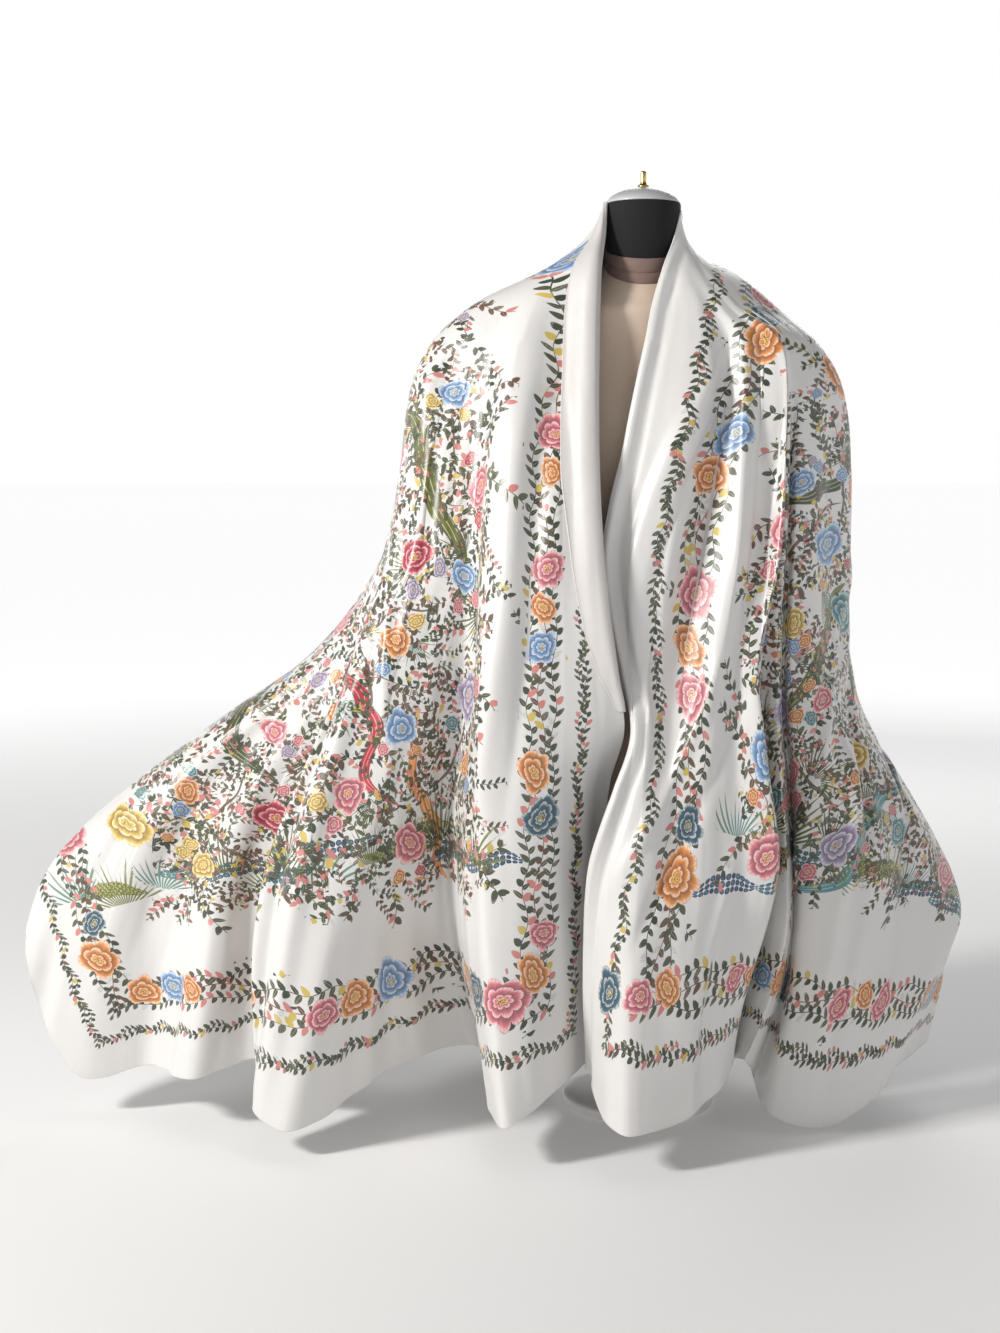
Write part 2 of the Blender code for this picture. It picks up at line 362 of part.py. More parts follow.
torso("form_torso", jersey)
turned("form_neck_band", NECK_BAND, taupe)
turned("form_neck", NECK, black)
turned("form_cap", CAP, cap_grey)
turned("form_finial", FINIAL, brass)
turned("form_post", POST, steel)
turned("form_base", BASE, steel)
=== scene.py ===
"""Wide satin shawl, printed with flowers, draped on a limbless counter-top dress form.

Metres, +Z up, the open front towards -Y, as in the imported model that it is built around.
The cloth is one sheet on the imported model's fold lines, in a fine mesh that is cut into the
same stretches. Its print is laid out on the flat sheet and drawn by the satin's own nodes.
"""
import logging
import math
from dataclasses import dataclass, field
from enum import Enum
from typing import Callable, Iterable, Sequence

import bpy
import numpy as np
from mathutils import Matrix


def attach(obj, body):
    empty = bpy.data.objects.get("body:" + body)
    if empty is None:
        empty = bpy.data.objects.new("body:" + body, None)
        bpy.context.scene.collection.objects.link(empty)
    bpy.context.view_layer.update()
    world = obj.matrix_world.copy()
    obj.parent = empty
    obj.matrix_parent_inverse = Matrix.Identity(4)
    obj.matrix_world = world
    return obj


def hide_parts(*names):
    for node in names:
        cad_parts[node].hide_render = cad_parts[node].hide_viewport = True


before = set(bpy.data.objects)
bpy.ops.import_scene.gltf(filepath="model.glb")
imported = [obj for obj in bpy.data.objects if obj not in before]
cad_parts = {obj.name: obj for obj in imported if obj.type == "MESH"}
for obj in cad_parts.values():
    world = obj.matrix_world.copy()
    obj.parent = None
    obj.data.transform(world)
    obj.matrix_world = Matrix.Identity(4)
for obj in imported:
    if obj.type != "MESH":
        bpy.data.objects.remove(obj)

CM = 0.01
MM = 0.001
TINY_AREA = 1e-9
Place = tuple[float, float, float]
Spot = tuple[float, float]
Rows = Sequence[Sequence[float]]

CUT_LONG = 1.80          # the shawl as it is cut, along the edge that lies round the neck
CUT_WIDE = 0.90          # and across it
HALF_LONG = CUT_LONG / 2


@dataclass(frozen=True)
class Fold:
    """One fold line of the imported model.

    angle is its place on the collar, hem the hem's height in cm, and bays how many grid columns
    lie between it and the next line. x and y are in cm, at each of LEVELS and then at each
    quarter of the way from there down to the hem.
    """

    name: str
    angle: float
    hem: float
    bays: int
    x: tuple[float, ...]
    y: tuple[float, ...]


# Heights (cm) of the stations that all fold lines share, below the collar.
LEVELS = (86.5, 82.5, 79.5, 76.0, 68.0, 58.0, 47.0, 41.5, 36.0)

# Height (cm) of the collar edge over its angle round the neck (0 = front, 90 = photo left).
COLLAR = ((72, 93.2), (90, 92.4), (112, 91.2), (140, 90.2), (180, 89.8),
          (222, 90.2), (252, 90.6), (276, 91.5), (290, 92.4))

# One row per fold line, from the left front's edge round the back to the right front's.
FOLDS = (
    Fold("left_edge", 72.0, 7.5, 4,
         (-4.6, -4.8, -4.9, -5.0, -5.1, -4.7, -3.3, -2.4, -3.7, -4.2, -4.4, -4.7, -5.5),
         (-4.6, -6.0, -7.0, -8.3, -10.9, -13.4, -14.4, -14.0, -12.6, -11.5, -10.9, -10.5, -10.2)),
    Fold("left_band", 78.3, 7.0, 3,
         (-7.2, -8.1, -8.3, -8.4, -8.7, -8.6, -8.5, -8.5, -8.5, -8.5, -8.5, -8.5, -8.7),
         (-4.1, -5.5, -6.5, -7.9, -10.9, -13.7, -15.5, -16.0, -16.2, -16.5, -16.8, -17.1, -17.5)),
    Fold("left_crest", 84.5, 4.3, 3,
         (-8.3, -11.5, -12.6, -13.5, -14.8, -15.6, -16.2, -16.3, -16.4, -16.1, -15.5, -14.6, -13.7),
         (-3.3, -5.4, -6.8, -8.4, -11.0, -13.3, -15.4, -16.1, -16.7, -17.8, -19.2, -20.3, -21.2)),
    Fold("left_valley", 90.8, 7.1, 3,
         (-9.0, -13.4, -15.0, -15.4, -16.5, -17.3, -17.8, -18.5, -19.5, -20.2, -20.3, -19.4, -17.6),
         (-2.5, -4.1, -4.9, -5.7, -7.9, -9.7, -10.4, -10.3, -10.1, -9.3, -8.1, -6.4, -4.0)),
    Fold("side_face", 95.8, 6.5, 3,
         (-9.5, -14.8, -16.8, -17.7, -18.9, -19.4, -20.1, -21.0, -22.4, -23.8, -24.8, -25.3, -25.4),
         (-1.9, -3.5, -4.3, -4.7, -7.1, -9.7, -11.3, -11.9, -12.4, -12.5, -12.1, -11.4, -9.5)),
    Fold("side_crest", 100.2, 2.7, 3,
         (-9.9, -16.0, -18.4, -19.5, -21.2, -22.3, -24.7, -25.9, -27.3, -29.3, -31.2, -33.3, -35.4),
         (-1.4, -2.8, -3.6, -4.0, -6.4, -9.0, -11.9, -13.1, -14.2, -15.4, -16.4, -17.1, -17.6)),
    Fold("side_line", 104.6, 3.8, 2,
         (-10.1, -17.0, -19.7, -21.7, -23.5, -25.4, -29.7, -32.1, -34.4, -37.4, -38.8, -39.0, -39.0),
         (-0.9, -2.1, -2.8, -3.5, -4.7, -6.6, -9.7, -10.8, -11.7, -12.9, -13.7, -14.2, -14.6)),
    Fold("side_tuck", 109.0, 6.5, 2,
         (-10.2, -17.5, -20.3, -22.2, -23.9, -25.9, -28.4, -29.9, -31.4, -33.4, -34.9, -35.5, -35.9),
         (-0.5, -1.6, -2.2, -2.8, -3.7, -5.1, -5.8, -6.3, -6.6, -7.0, -7.3, -7.6, -7.8)),
    Fold("wing_root", 113.4, 6.5, 2,
         (-10.3, -17.8, -20.7, -22.6, -24.2, -26.1, -30.2, -33.2, -36.1, -38.8, -40.1, -40.3, -40.3),
         (-0.1, -1.1, -1.6, -2.1, -3.0, -4.1, -3.6, -3.9, -4.1, -4.5, -5.1, -5.9, -6.8)),
    Fold("wing_crest", 117.2, 5.3, 3,
         (-10.4, -18.0, -21.0, -22.9, -24.4, -26.3, -31.3, -35.2, -38.8, -42.6, -43.8, -44.5, -45.6),
         (0.3, -0.6, -1.1, -1.5, -2.2, -3.2, -2.8, -3.4, -3.9, -5.2, -7.0, -8.4, -9.6)),
    Fold("wing_valley", 121.0, 5.1, 3,
         (-10.4, -18.1, -21.2, -23.1, -24.4, -26.4, -32.2, -36.9, -40.7, -45.4, -48.0, -49.9, -51.0),
         (0.7, -0.1, -0.6, -0.9, -1.6, -2.3, -1.7, -2.0, -2.2, -2.5, -3.0, -3.6, -4.4)),
    Fold("wing_corner", 124.7, 3.9, 2,
         (-10.4, -18.2, -21.3, -23.2, -24.5, -26.4, -33.4, -39.8, -46.0, -51.8, -54.9, -56.5, -57.4),
         (1.1, 0.4, 0.0, -0.3, -0.8, -1.4, -0.8, -1.1, -1.5, -2.1, -3.1, -4.0, -5.0)),
    Fold("wing_long", 128.4, 10.8, 3,
         (-10.4, -18.2, -21.3, -23.2, -24.5, -26.4, -33.9, -41.1, -48.2, -54.0, -58.0, -60.6, -62.4),
         (1.5, 0.9, 0.6, 0.3, -0.1, -0.5, 0.0, -0.1, -0.2, -0.8, -1.4, -2.2, -3.0)),
    Fold("wing_ridge", 132.2, 18.9, 3,
         (-10.3, -18.1, -21.2, -23.1, -24.4, -26.4, -34.4, -42.1, -49.7, -55.2, -59.9, -62.9, -64.1),
         (1.9, 1.4, 1.1, 0.9, 0.6, 0.4, 1.6, 2.3, 2.7, 2.7, 2.1, 1.2, -0.4)),
    Fold("wing_behind", 138.1, 16.2, 3,
         (-9.3, -15.6, -18.4, -20.5, -22.4, -24.3, -31.2, -37.7, -44.2, -48.6, -53.1, -57.2, -60.0),
         (3.5, 3.7, 4.0, 4.4, 5.0, 5.6, 6.0, 6.5, 7.0, 7.3, 7.6, 7.6, 7.0)),
    Fold("back_left_dip", 144.7, 12.2, 3,
         (-7.6, -12.6, -14.8, -17.1, -19.0, -21.1, -26.1, -30.1, -34.1, -37.1, -40.0, -41.8, -43.5),
         (4.7, 6.1, 6.8, 7.5, 8.6, 9.4, 9.6, 9.6, 9.6, 9.4, 9.2, 9.0, 8.8)),
    Fold("back_left_flute", 151.3, 9.2, 3,
         (-6.1, -10.2, -11.9, -13.6, -15.5, -17.1, -20.3, -22.5, -24.7, -26.6, -28.5, -29.8, -31.0),
         (5.8, 7.5, 8.3, 9.2, 10.9, 12.4, 14.0, 14.8, 15.6, 16.3, 17.0, 17.5, 18.0)),
    Fold("back_left_valley", 159.2, 7.6, 2,
         (-4.5, -7.3, -8.4, -9.5, -11.0, -12.1, -14.0, -15.3, -16.5, -17.8, -19.1, -20.0, -21.0),
         (6.5, 8.3, 9.1, 10.0, 11.2, 11.6, 11.6, 11.5, 11.5, 11.3, 11.2, 11.1, 11.0)),
    Fold("back_mid_flute", 168.2, 6.0, 3,
         (-2.6, -4.3, -5.0, -5.7, -6.7, -7.4, -8.4, -9.2, -10.0, -10.9, -11.7, -12.2, -12.8),
         (6.8, 8.8, 9.7, 10.7, 12.4, 13.8, 15.4, 16.3, 17.2, 18.1, 18.9, 19.6, 20.2)),
    Fold("back_mid_valley", 178.5, 6.4, 2,
         (-0.5, -0.8, -0.9, -1.0, -1.2, -1.5, -2.0, -2.3, -2.5, -2.8, -3.0, -3.3, -3.5),
         (6.9, 8.8, 9.7, 10.6, 11.8, 12.2, 12.4, 12.4, 12.4, 12.3, 12.2, 12.1, 12.0)),
    Fold("back_right_flute", 188.6, 5.8, 3,
         (2.2, 3.5, 4.1, 4.8, 5.6, 6.2, 6.6, 6.8, 7.0, 7.1, 7.2, 7.1, 7.0),
         (6.8, 8.7, 9.6, 10.6, 12.2, 13.8, 15.6, 16.6, 17.6, 18.6, 19.5, 20.2, 20.8)),
    Fold("back_right_valley", 198.3, 7.2, 3,
         (4.4, 7.2, 8.3, 9.4, 10.6, 11.6, 12.4, 12.8, 13.2, 13.7, 14.2, 14.6, 15.0),
         (6.2, 8.0, 8.8, 9.7, 10.7, 11.2, 11.2, 11.1, 11.0, 10.8, 10.6, 10.5, 10.4)),
    Fold("back_side_flute", 207.3, 8.4, 3,
         (5.9, 10.1, 11.8, 13.4, 15.2, 16.2, 17.4, 18.2, 19.0, 20.2, 21.4, 22.2, 23.0),
         (5.1, 7.0, 7.8, 8.6, 10.1, 11.5, 13.2, 14.1, 15.0, 16.0, 17.0, 17.7, 18.4)),
    Fold("back_side_valley", 216.3, 10.2, 2,
         (7.0, 12.2, 14.3, 16.4, 18.2, 19.0, 20.0, 21.2, 22.5, 24.6, 26.7, 28.4, 30.0),
         (3.8, 5.1, 5.8, 6.5, 7.3, 7.9, 8.3, 8.5, 8.6, 8.6, 8.6, 8.3, 8.0)),
    Fold("right_corner", 224.8, 6.6, 2,
         (8.4, 13.5, 16.6, 18.5, 20.1, 20.3, 21.3, 23.4, 25.6, 28.5, 31.2, 32.6, 31.4),
         (2.6, 3.1, 3.4, 3.6, 3.9, 4.2, 4.6, 4.9, 5.2, 5.4, 5.5, 5.0, 3.6)),
    Fold("right_outline", 237.8, 4.4, 2,
         (9.4, 14.4, 17.9, 20.2, 21.5, 21.6, 21.9, 23.2, 26.5, 31.4, 34.0, 31.0, 26.1),
         (1.1, 1.0, 1.0, 1.0, 1.0, 1.0, 1.0, 1.0, 1.3, 2.0, 1.1, -1.6, -4.5)),
    Fold("right_wing_face", 245.3, 2.7, 3,
         (8.7, 13.1, 16.4, 18.2, 18.7, 18.8, 19.3, 20.4, 22.9, 26.4, 26.9, 25.6, 23.4),
         (-0.1, -0.8, -1.5, -1.9, -2.7, -3.3, -4.2, -4.7, -5.1, -5.5, -6.2, -7.2, -8.2)),
    Fold("right_wing_crest", 250.6, 0.4, 3,
         (8.0, 11.8, 15.2, 16.3, 16.4, 16.5, 16.5, 17.0, 18.0, 19.5, 20.2, 19.7, 18.4),
         (-1.0, -2.2, -2.9, -3.5, -5.4, -6.6, -7.9, -8.8, -9.7, -10.8, -10.7, -10.3, -10.0)),
    Fold("right_wing_inner", 254.9, 2.1, 3,
         (7.5, 11.1, 14.4, 15.1, 15.0, 14.7, 14.4, 14.6, 15.2, 15.6, 15.3, 14.2, 12.5),
         (-1.6, -3.0, -3.6, -4.3, -6.1, -7.2, -8.1, -8.6, -9.0, -9.6, -9.9, -10.1, -10.2)),
    Fold("pleat_dip", 258.3, 4.4, 3,
         (7.2, 10.6, 13.9, 14.5, 14.5, 14.2, 13.9, 14.0, 14.6, 15.2, 15.1, 13.8, 11.5),
         (-2.0, -3.4, -4.0, -4.7, -5.5, -6.3, -6.7, -6.8, -6.9, -7.1, -7.2, -7.2, -7.0)),
    Fold("pleat_crest", 261.5, 7.6, 3,
         (6.8, 10.1, 13.5, 14.0, 14.1, 13.7, 13.0, 13.0, 13.3, 13.8, 13.8, 12.5, 10.0),
         (-2.5, -4.0, -4.7, -5.5, -6.5, -7.6, -8.5, -9.2, -10.2, -11.3, -12.1, -11.8, -10.6)),
    Fold("pleat_tuck", 264.1, 6.7, 3,
         (6.4, 9.6, 12.9, 13.2, 13.2, 12.7, 11.6, 11.3, 11.5, 11.5, 11.2, 10.2, 9.3),
         (-2.9, -4.3, -5.0, -5.7, -6.4, -7.3, -7.9, -8.0, -8.2, -8.2, -8.1, -7.7, -7.0)),
    Fold("right_crest", 267.9, 8.4, 2,
         (6.0, 9.1, 13.0, 13.8, 13.5, 12.7, 10.6, 10.8, 11.4, 12.3, 11.4, 9.9, 8.9),
         (-3.3, -4.9, -6.2, -7.3, -9.1, -11.4, -13.1, -14.0, -14.8, -15.8, -15.0, -13.3, -10.4)),
    Fold("right_dip", 272.2, 6.4, 2,
         (5.5, 8.2, 11.2, 11.2, 10.9, 9.9, 8.5, 8.4, 8.6, 9.1, 8.4, 7.1, 7.1),
         (-3.6, -5.1, -5.9, -6.5, -8.4, -10.5, -12.3, -13.3, -14.2, -15.7, -16.1, -16.0, -15.0)),
    Fold("right_ridge", 276.5, 4.7, 2,
         (5.0, 7.3, 9.4, 9.7, 9.3, 8.5, 6.6, 5.8, 5.2, 5.0, 4.1, 3.4, 3.1),
         (-4.0, -5.5, -6.5, -7.4, -9.9, -12.2, -13.6, -14.6, -15.7, -17.4, -18.7, -19.5, -20.0)),
    Fold("right_valley", 280.3, 4.2, 3,
         (4.4, 6.4, 8.0, 7.7, 6.6, 4.8, 2.7, 2.0, 1.7, 1.4, 0.8, 0.2, -0.1),
         (-4.3, -5.5, -5.7, -6.4, -8.1, -10.0, -12.2, -13.7, -15.5, -18.0, -19.8, -21.1, -22.0)),
    Fold("right_fold", 283.6, 4.0, 2,
         (3.8, 5.2, 5.9, 6.0, 4.1, 1.8, -0.0, -0.4, -0.8, -1.4, -2.1, -2.4, -2.4),
         (-4.5, -6.0, -6.9, -8.0, -10.5, -12.8, -13.5, -15.0, -16.7, -18.9, -20.6, -21.8, -22.8)),
    Fold("right_band", 286.8, 5.1, 2,
         (2.8, 3.0, 2.6, 2.2, 0.5, -1.9, -1.9, -1.4, -2.4, -4.0, -4.4, -4.6, -4.7),
         (-4.8, -6.0, -6.9, -8.0, -10.2, -12.0, -13.1, -14.9, -16.5, -18.0, -18.8, -19.1, -19.0)),
    Fold("right_edge", 290.0, 8.6, 0,
         (1.6, 0.4, -0.2, -1.0, -2.7, -4.7, -2.9, -1.8, -3.7, -5.9, -6.3, -6.2, -5.7),
         (-5.0, -6.2, -7.0, -7.9, -9.9, -11.6, -12.5, -14.5, -16.6, -17.1, -16.7, -16.0, -15.0)),
)


class Border(Enum):
    """What a side of a stretch of cloth is."""

    ROLLED = "rolled hem"
    SEAM = "runs on into the next stretch"


# Each stretch of cloth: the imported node, and where it begins, as a fold line and how many of
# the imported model's columns past it. It ends where the next begins.
STRETCHES = (
    ("scarf_left_front", "left_edge", 0),
    ("scarf_left_side", "left_valley", 2),
    ("scarf_left_wing", "side_line", 1),
    ("scarf_back_left", "wing_ridge", 2),
    ("scarf_back_right", "back_mid_valley", 1),
    ("scarf_right_wing", "right_corner", 1),
    ("scarf_right_pleats", "right_wing_inner", 1),
    ("scarf_right_front", "right_crest", 1),
)


def unit(vectors: np.ndarray) -> np.ndarray:
    """The vectors along the last axis at length one."""
    return vectors / (np.linalg.norm(vectors, axis=-1, keepdims=True) + 1e-12)


def gaps_along(points: np.ndarray, axis: int) -> np.ndarray:
    """The distances between neighbours along a grid axis."""
    return np.linalg.norm(np.diff(points, axis=axis), axis=-1)


def smooth(low: float, high: float, value: np.ndarray) -> np.ndarray:
    """A soft step from 0 at low to 1 at high."""
    t = np.clip((value - low) / (high - low), 0, 1)
    return t * t * (3 - 2 * t)


def ripple(x: np.ndarray, y: np.ndarray, seed: int) -> np.ndarray:
    """Smooth uneven waves between about -1 and 1.

    Args:
        x: place along the first axis, in wavelengths.
        y: place along the second axis, in wavelengths.
        seed: which waves.

    Returns:
        The height of the waves at each place.
    """
    size = 64
    lattice = np.random.default_rng(seed).uniform(-1, 1, (size, size))
    column, row = np.floor(x).astype(int), np.floor(y).astype(int)
    s, t = x - column, y - row
    s, t = s * s * (3 - 2 * s), t * t * (3 - 2 * t)
    here, right = column % size, (column + 1) % size
    low, high = row % size, (row + 1) % size
    near = lattice[here, low] * (1 - s) + lattice[right, low] * s
    far = lattice[here, high] * (1 - s) + lattice[right, high] * s
    return near * (1 - t) + far * t


def refine(points: np.ndarray, counts: Sequence[int], axis: int) -> np.ndarray:
    """A smooth curve through the points along one axis.

    Args:
        points: grid of points whose first three values are the place.
        counts: how many steps to lay in each bay between two points.
        axis: the grid axis that the curve follows.

    Returns:
        The grid with the steps filled in.
    """
    p = np.moveaxis(points, axis, 0)
    gaps = np.linalg.norm(p[1:, ..., :3] - p[:-1, ..., :3], axis=-1)[..., None] + 1e-6
    step = (p[1:] - p[:-1]) / gaps
    slopes = np.empty_like(p)
    slopes[1:-1] = (step[1:] * gaps[:-1] + step[:-1] * gaps[1:]) / (gaps[1:] + gaps[:-1])
    slopes[0], slopes[-1] = step[0], step[-1]
    rows = []
    for bay, count in enumerate(counts):
        low, high = gaps[bay], gaps[bay]
        for k in range(count):
            t = k / count
            from_low = (2 * t**3 - 3 * t**2 + 1) * p[bay] + (t**3 - 2 * t**2 + t) * low * slopes[bay]
            from_high = (3 * t**2 - 2 * t**3) * p[bay + 1] + (t**3 - t**2) * high * slopes[bay + 1]
            rows.append(from_low + from_high)
    rows.append(p[-1])
    return np.moveaxis(np.array(rows), 0, axis)


@dataclass
class ClothGrid:
    """The cloth's middle surface as a fine grid of columns from collar to hem.

    points and normals are (column, row, xyz), flat is (column, row, uv) on the cut sheet, and
    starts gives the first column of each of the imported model's columns. along and down are
    the unit directions to the next column and row.
    """

    points: np.ndarray
    flat: np.ndarray
    starts: list[int]
    normals: np.ndarray = field(init=False)
    along: np.ndarray = field(init=False)
    down: np.ndarray = field(init=False)

    def __post_init__(self) -> None:
        """Works out the directions."""
        self.face()

    def face(self) -> None:
        """Works out the directions from the points."""
        self.along = unit(np.gradient(self.points, axis=0))
        self.down = unit(np.gradient(self.points, axis=1))
        self.normals = unit(np.cross(self.along, self.down))

    def push(self, height: np.ndarray) -> None:
        """Moves each point out along its normal by that height, in metres."""
        self.points = self.points + self.normals * height[..., None]
        self.face()


@dataclass
class ColumnSolver:
    """Solves a symmetric system in which a column's unknowns meet only the next column's."""

    matrix: np.ndarray
    rows: int

    def __post_init__(self) -> None:
        """Works out each column's share of the inverse."""
        size = self.rows
        self.inverses: list[np.ndarray] = []
        self.links: list[np.ndarray] = []
        for begin in range(0, len(self.matrix), size):
            here = slice(begin, begin + size)
            block = self.matrix[here, here]
            if begin:
                self.links.append(self.matrix[here, begin - size:begin])
                block = block - self.links[-1] @ self.inverses[-1] @ self.links[-1].T
            self.inverses.append(np.linalg.inv(block))

    def solve(self, wanted: np.ndarray) -> np.ndarray:
        """The unknowns for one right-hand side.

        Args:
            wanted: the right-hand side, column by column.

        Returns:
            The unknowns in the same order.
        """
        parts = wanted.reshape(-1, self.rows)
        sums = [parts[0]]
        for part, link, inverse in zip(parts[1:], self.links, self.inverses):
            sums.append(part - link @ (inverse @ sums[-1]))
        found = [self.inverses[-1] @ sums[-1]]
        for link, inverse, total in zip(self.links[::-1], self.inverses[-2::-1], sums[-2::-1]):
            found.append(inverse @ (total - link.T @ found[-1]))
        return np.concatenate(found[::-1])


@dataclass
class Triangles:
    """Both ways of halving each cell of a grid, as triangles with their own flat shapes."""

    points: np.ndarray
    least_weight: float
    sides = ((0, 1, 2), (1, 2, 0), (2, 0, 1))

    def __post_init__(self) -> None:
        """Works out the corners, and each side's weight and direction."""
        columns, rows = self.points.shape[:2]
        index = np.arange(columns * rows).reshape(columns, rows)
        a, b, c, d = index[:-1, :-1], index[1:, :-1], index[1:, 1:], index[:-1, 1:]
        halves = ((a, b, c), (a, c, d), (a, b, d), (b, c, d))
        self.corner = np.concatenate([np.stack(half, -1).reshape(-1, 3) for half in halves])
        local = self.shapes()
        self.weights, self.pulls = [], []
        for i, j, k in self.sides:
            u, v = local[:, i] - local[:, k], local[:, j] - local[:, k]
            area = np.abs(u[:, 0] * v[:, 1] - u[:, 1] * v[:, 0])
            cotangent = (u * v).sum(1) / np.maximum(area, TINY_AREA)
            self.weights.append(np.maximum(cotangent, self.least_weight) / 2)
            self.pulls.append(local[:, j] - local[:, i])

    def shapes(self) -> np.ndarray:
        """Each triangle's three corners in its own plane."""
        start, one, other = (self.points.reshape(-1, 3)[self.corner[:, k]] for k in range(3))
        first, second = one - start, other - start
        length = np.linalg.norm(first, axis=1)
        axis = first / length[:, None]
        foot = (second * axis).sum(1)
        local = np.zeros((len(self.corner), 3, 2))
        local[:, 1, 0], local[:, 2, 0] = length, foot
        local[:, 2, 1] = np.linalg.norm(second - foot[:, None] * axis, axis=1)
        return local

    def stiffness(self) -> np.ndarray:
        """The matrix that ties the points of each side together by its weight."""
        count = self.points.shape[0] * self.points.shape[1]
        matrix = np.zeros((count, count))
        for (i, j, _), weight in zip(self.sides, self.weights):
            for one, other in ((i, j), (j, i)):
                np.add.at(matrix, (self.corner[:, one], self.corner[:, one]), weight)
                np.add.at(matrix, (self.corner[:, one], self.corner[:, other]), -weight)
        return matrix

    def wanted(self, spot: np.ndarray) -> np.ndarray:
        """The pull on each point, with every triangle turned to lie as its flat places do.

        Args:
            spot: the points' flat places.

        Returns:
            The sum of its sides' weighted directions for each point.
        """
        spread = np.zeros((len(self.corner), 2, 2))
        for (i, j, _), weight, pull in zip(self.sides, self.weights, self.pulls):
            edge = spot[self.corner[:, j]] - spot[self.corner[:, i]]
            spread += weight[:, None, None] * edge[:, :, None] * pull[:, None, :]
        turn = np.arctan2(spread[:, 1, 0] - spread[:, 0, 1], spread[:, 0, 0] + spread[:, 1, 1])
        cosine, sine = np.cos(turn), np.sin(turn)
        wanted = np.zeros(spot.shape)
        for (i, j, _), weight, pull in zip(self.sides, self.weights, self.pulls):
            x, y = pull[:, 0], pull[:, 1]
            turned = weight[:, None] * np.stack([cosine * x - sine * y, sine * x + cosine * y], 1)
            np.add.at(wanted, self.corner[:, j], turned)
            np.add.at(wanted, self.corner[:, i], -turned)
        return wanted


@dataclass
class Flattening:
    """Lays the draped sheet flat on its cut, with each edge on an edge of the rectangle.

    It turns every triangle as a whole and lets the edges slide, so that lengths on the cloth
    stay near those on the cut. corners are the columns at the sheet's two hidden corners, and
    turned_back is how much of the left front is turned back at each of the turned_heights, in
    metres.
    """

    points: np.ndarray
    corners: tuple[int, int]
    turned_heights: tuple[float, ...] = (0.40, 0.47, 0.60, 0.66, 0.76, 0.93)
    turned_back: tuple[float, ...] = (0.0, 0.013, 0.032, 0.038, 0.082, 0.095)
    rounds: int = 60
    least_weight: float = 0.03

    def first_guess(self) -> np.ndarray:
        """A fan from the middle of the neck edge to the three other edges."""
        columns = len(self.points)
        run = gaps_along(self.points, 1)
        share = np.concatenate([np.zeros((columns, 1)), np.cumsum(run, 1)], 1) / run.sum(1)[:, None]
        hem = gaps_along(self.points[:, -1], 0)
        ends = np.zeros((columns, 2))
        marks = (0, *self.corners, columns - 1)
        around = ((-HALF_LONG, 0.0), (-HALF_LONG, CUT_WIDE), (HALF_LONG, CUT_WIDE), (HALF_LONG, 0.0))
        for first, last, start, stop in zip(marks, marks[1:], around, around[1:]):
            part = np.concatenate([[0], np.cumsum(hem[first:last])]) / hem[first:last].sum()
            ends[first:last + 1] = np.outer(1 - part, start) + np.outer(part, stop)
        place = np.concatenate([[0], np.cumsum(gaps_along(self.points[:, 0], 0))])
        tops = np.stack([place - place[-1] / 2, np.zeros(columns)], 1)
        return tops[:, None] * (1 - share[..., None]) + ends[:, None] * share[..., None]

    def held(self) -> tuple[np.ndarray, np.ndarray]:
        """A mask of the flat values that are held, and the first guess with those values set."""
        left, right = self.corners
        flat = self.first_guess()
        mask = np.zeros(flat.shape, bool)
        mask[:, 0, 1] = mask[0, :, 1] = mask[-1, :, 1] = True
        flat[0, :, 1] = np.interp(self.points[0, :, 2], self.turned_heights, self.turned_back)
        flat[:left, 0, 1] = np.linspace(1, 0, left) ** 2 * self.turned_back[-1]
        mask[:left + 1, -1, 0] = mask[right:, -1, 0] = True
        flat[:left + 1, -1, 0], flat[right:, -1, 0] = -HALF_LONG, HALF_LONG
        mask[left:right + 1, -1, 1] = True
        flat[left:right + 1, -1, 1] = CUT_WIDE
        return mask, flat

    def lay(self) -> np.ndarray:
        """The flat place of each point of the coarse grid (column, row, uv), in metres."""
        mesh = Triangles(self.points, self.least_weight)
        matrix = mesh.stiffness()
        mask, flat = self.held()
        spot, fixed = flat.reshape(-1, 2), mask.reshape(-1, 2)
        known, solvers = [], []
        for k in (0, 1):
            held = fixed[:, k]
            known.append(np.where(held, spot[:, k], -matrix[:, held] @ spot[held, k]))
            free = np.where(held[:, None] | held[None], 0, matrix)
            solvers.append(ColumnSolver(free + np.diag(held.astype(float)), self.points.shape[1]))
        for _ in range(self.rounds):
            wanted = mesh.wanted(spot)
            for k in (0, 1):
                spot[:, k] = solvers[k].solve(np.where(fixed[:, k], 0, wanted[:, k]) + known[k])
        return spot.reshape(flat.shape)


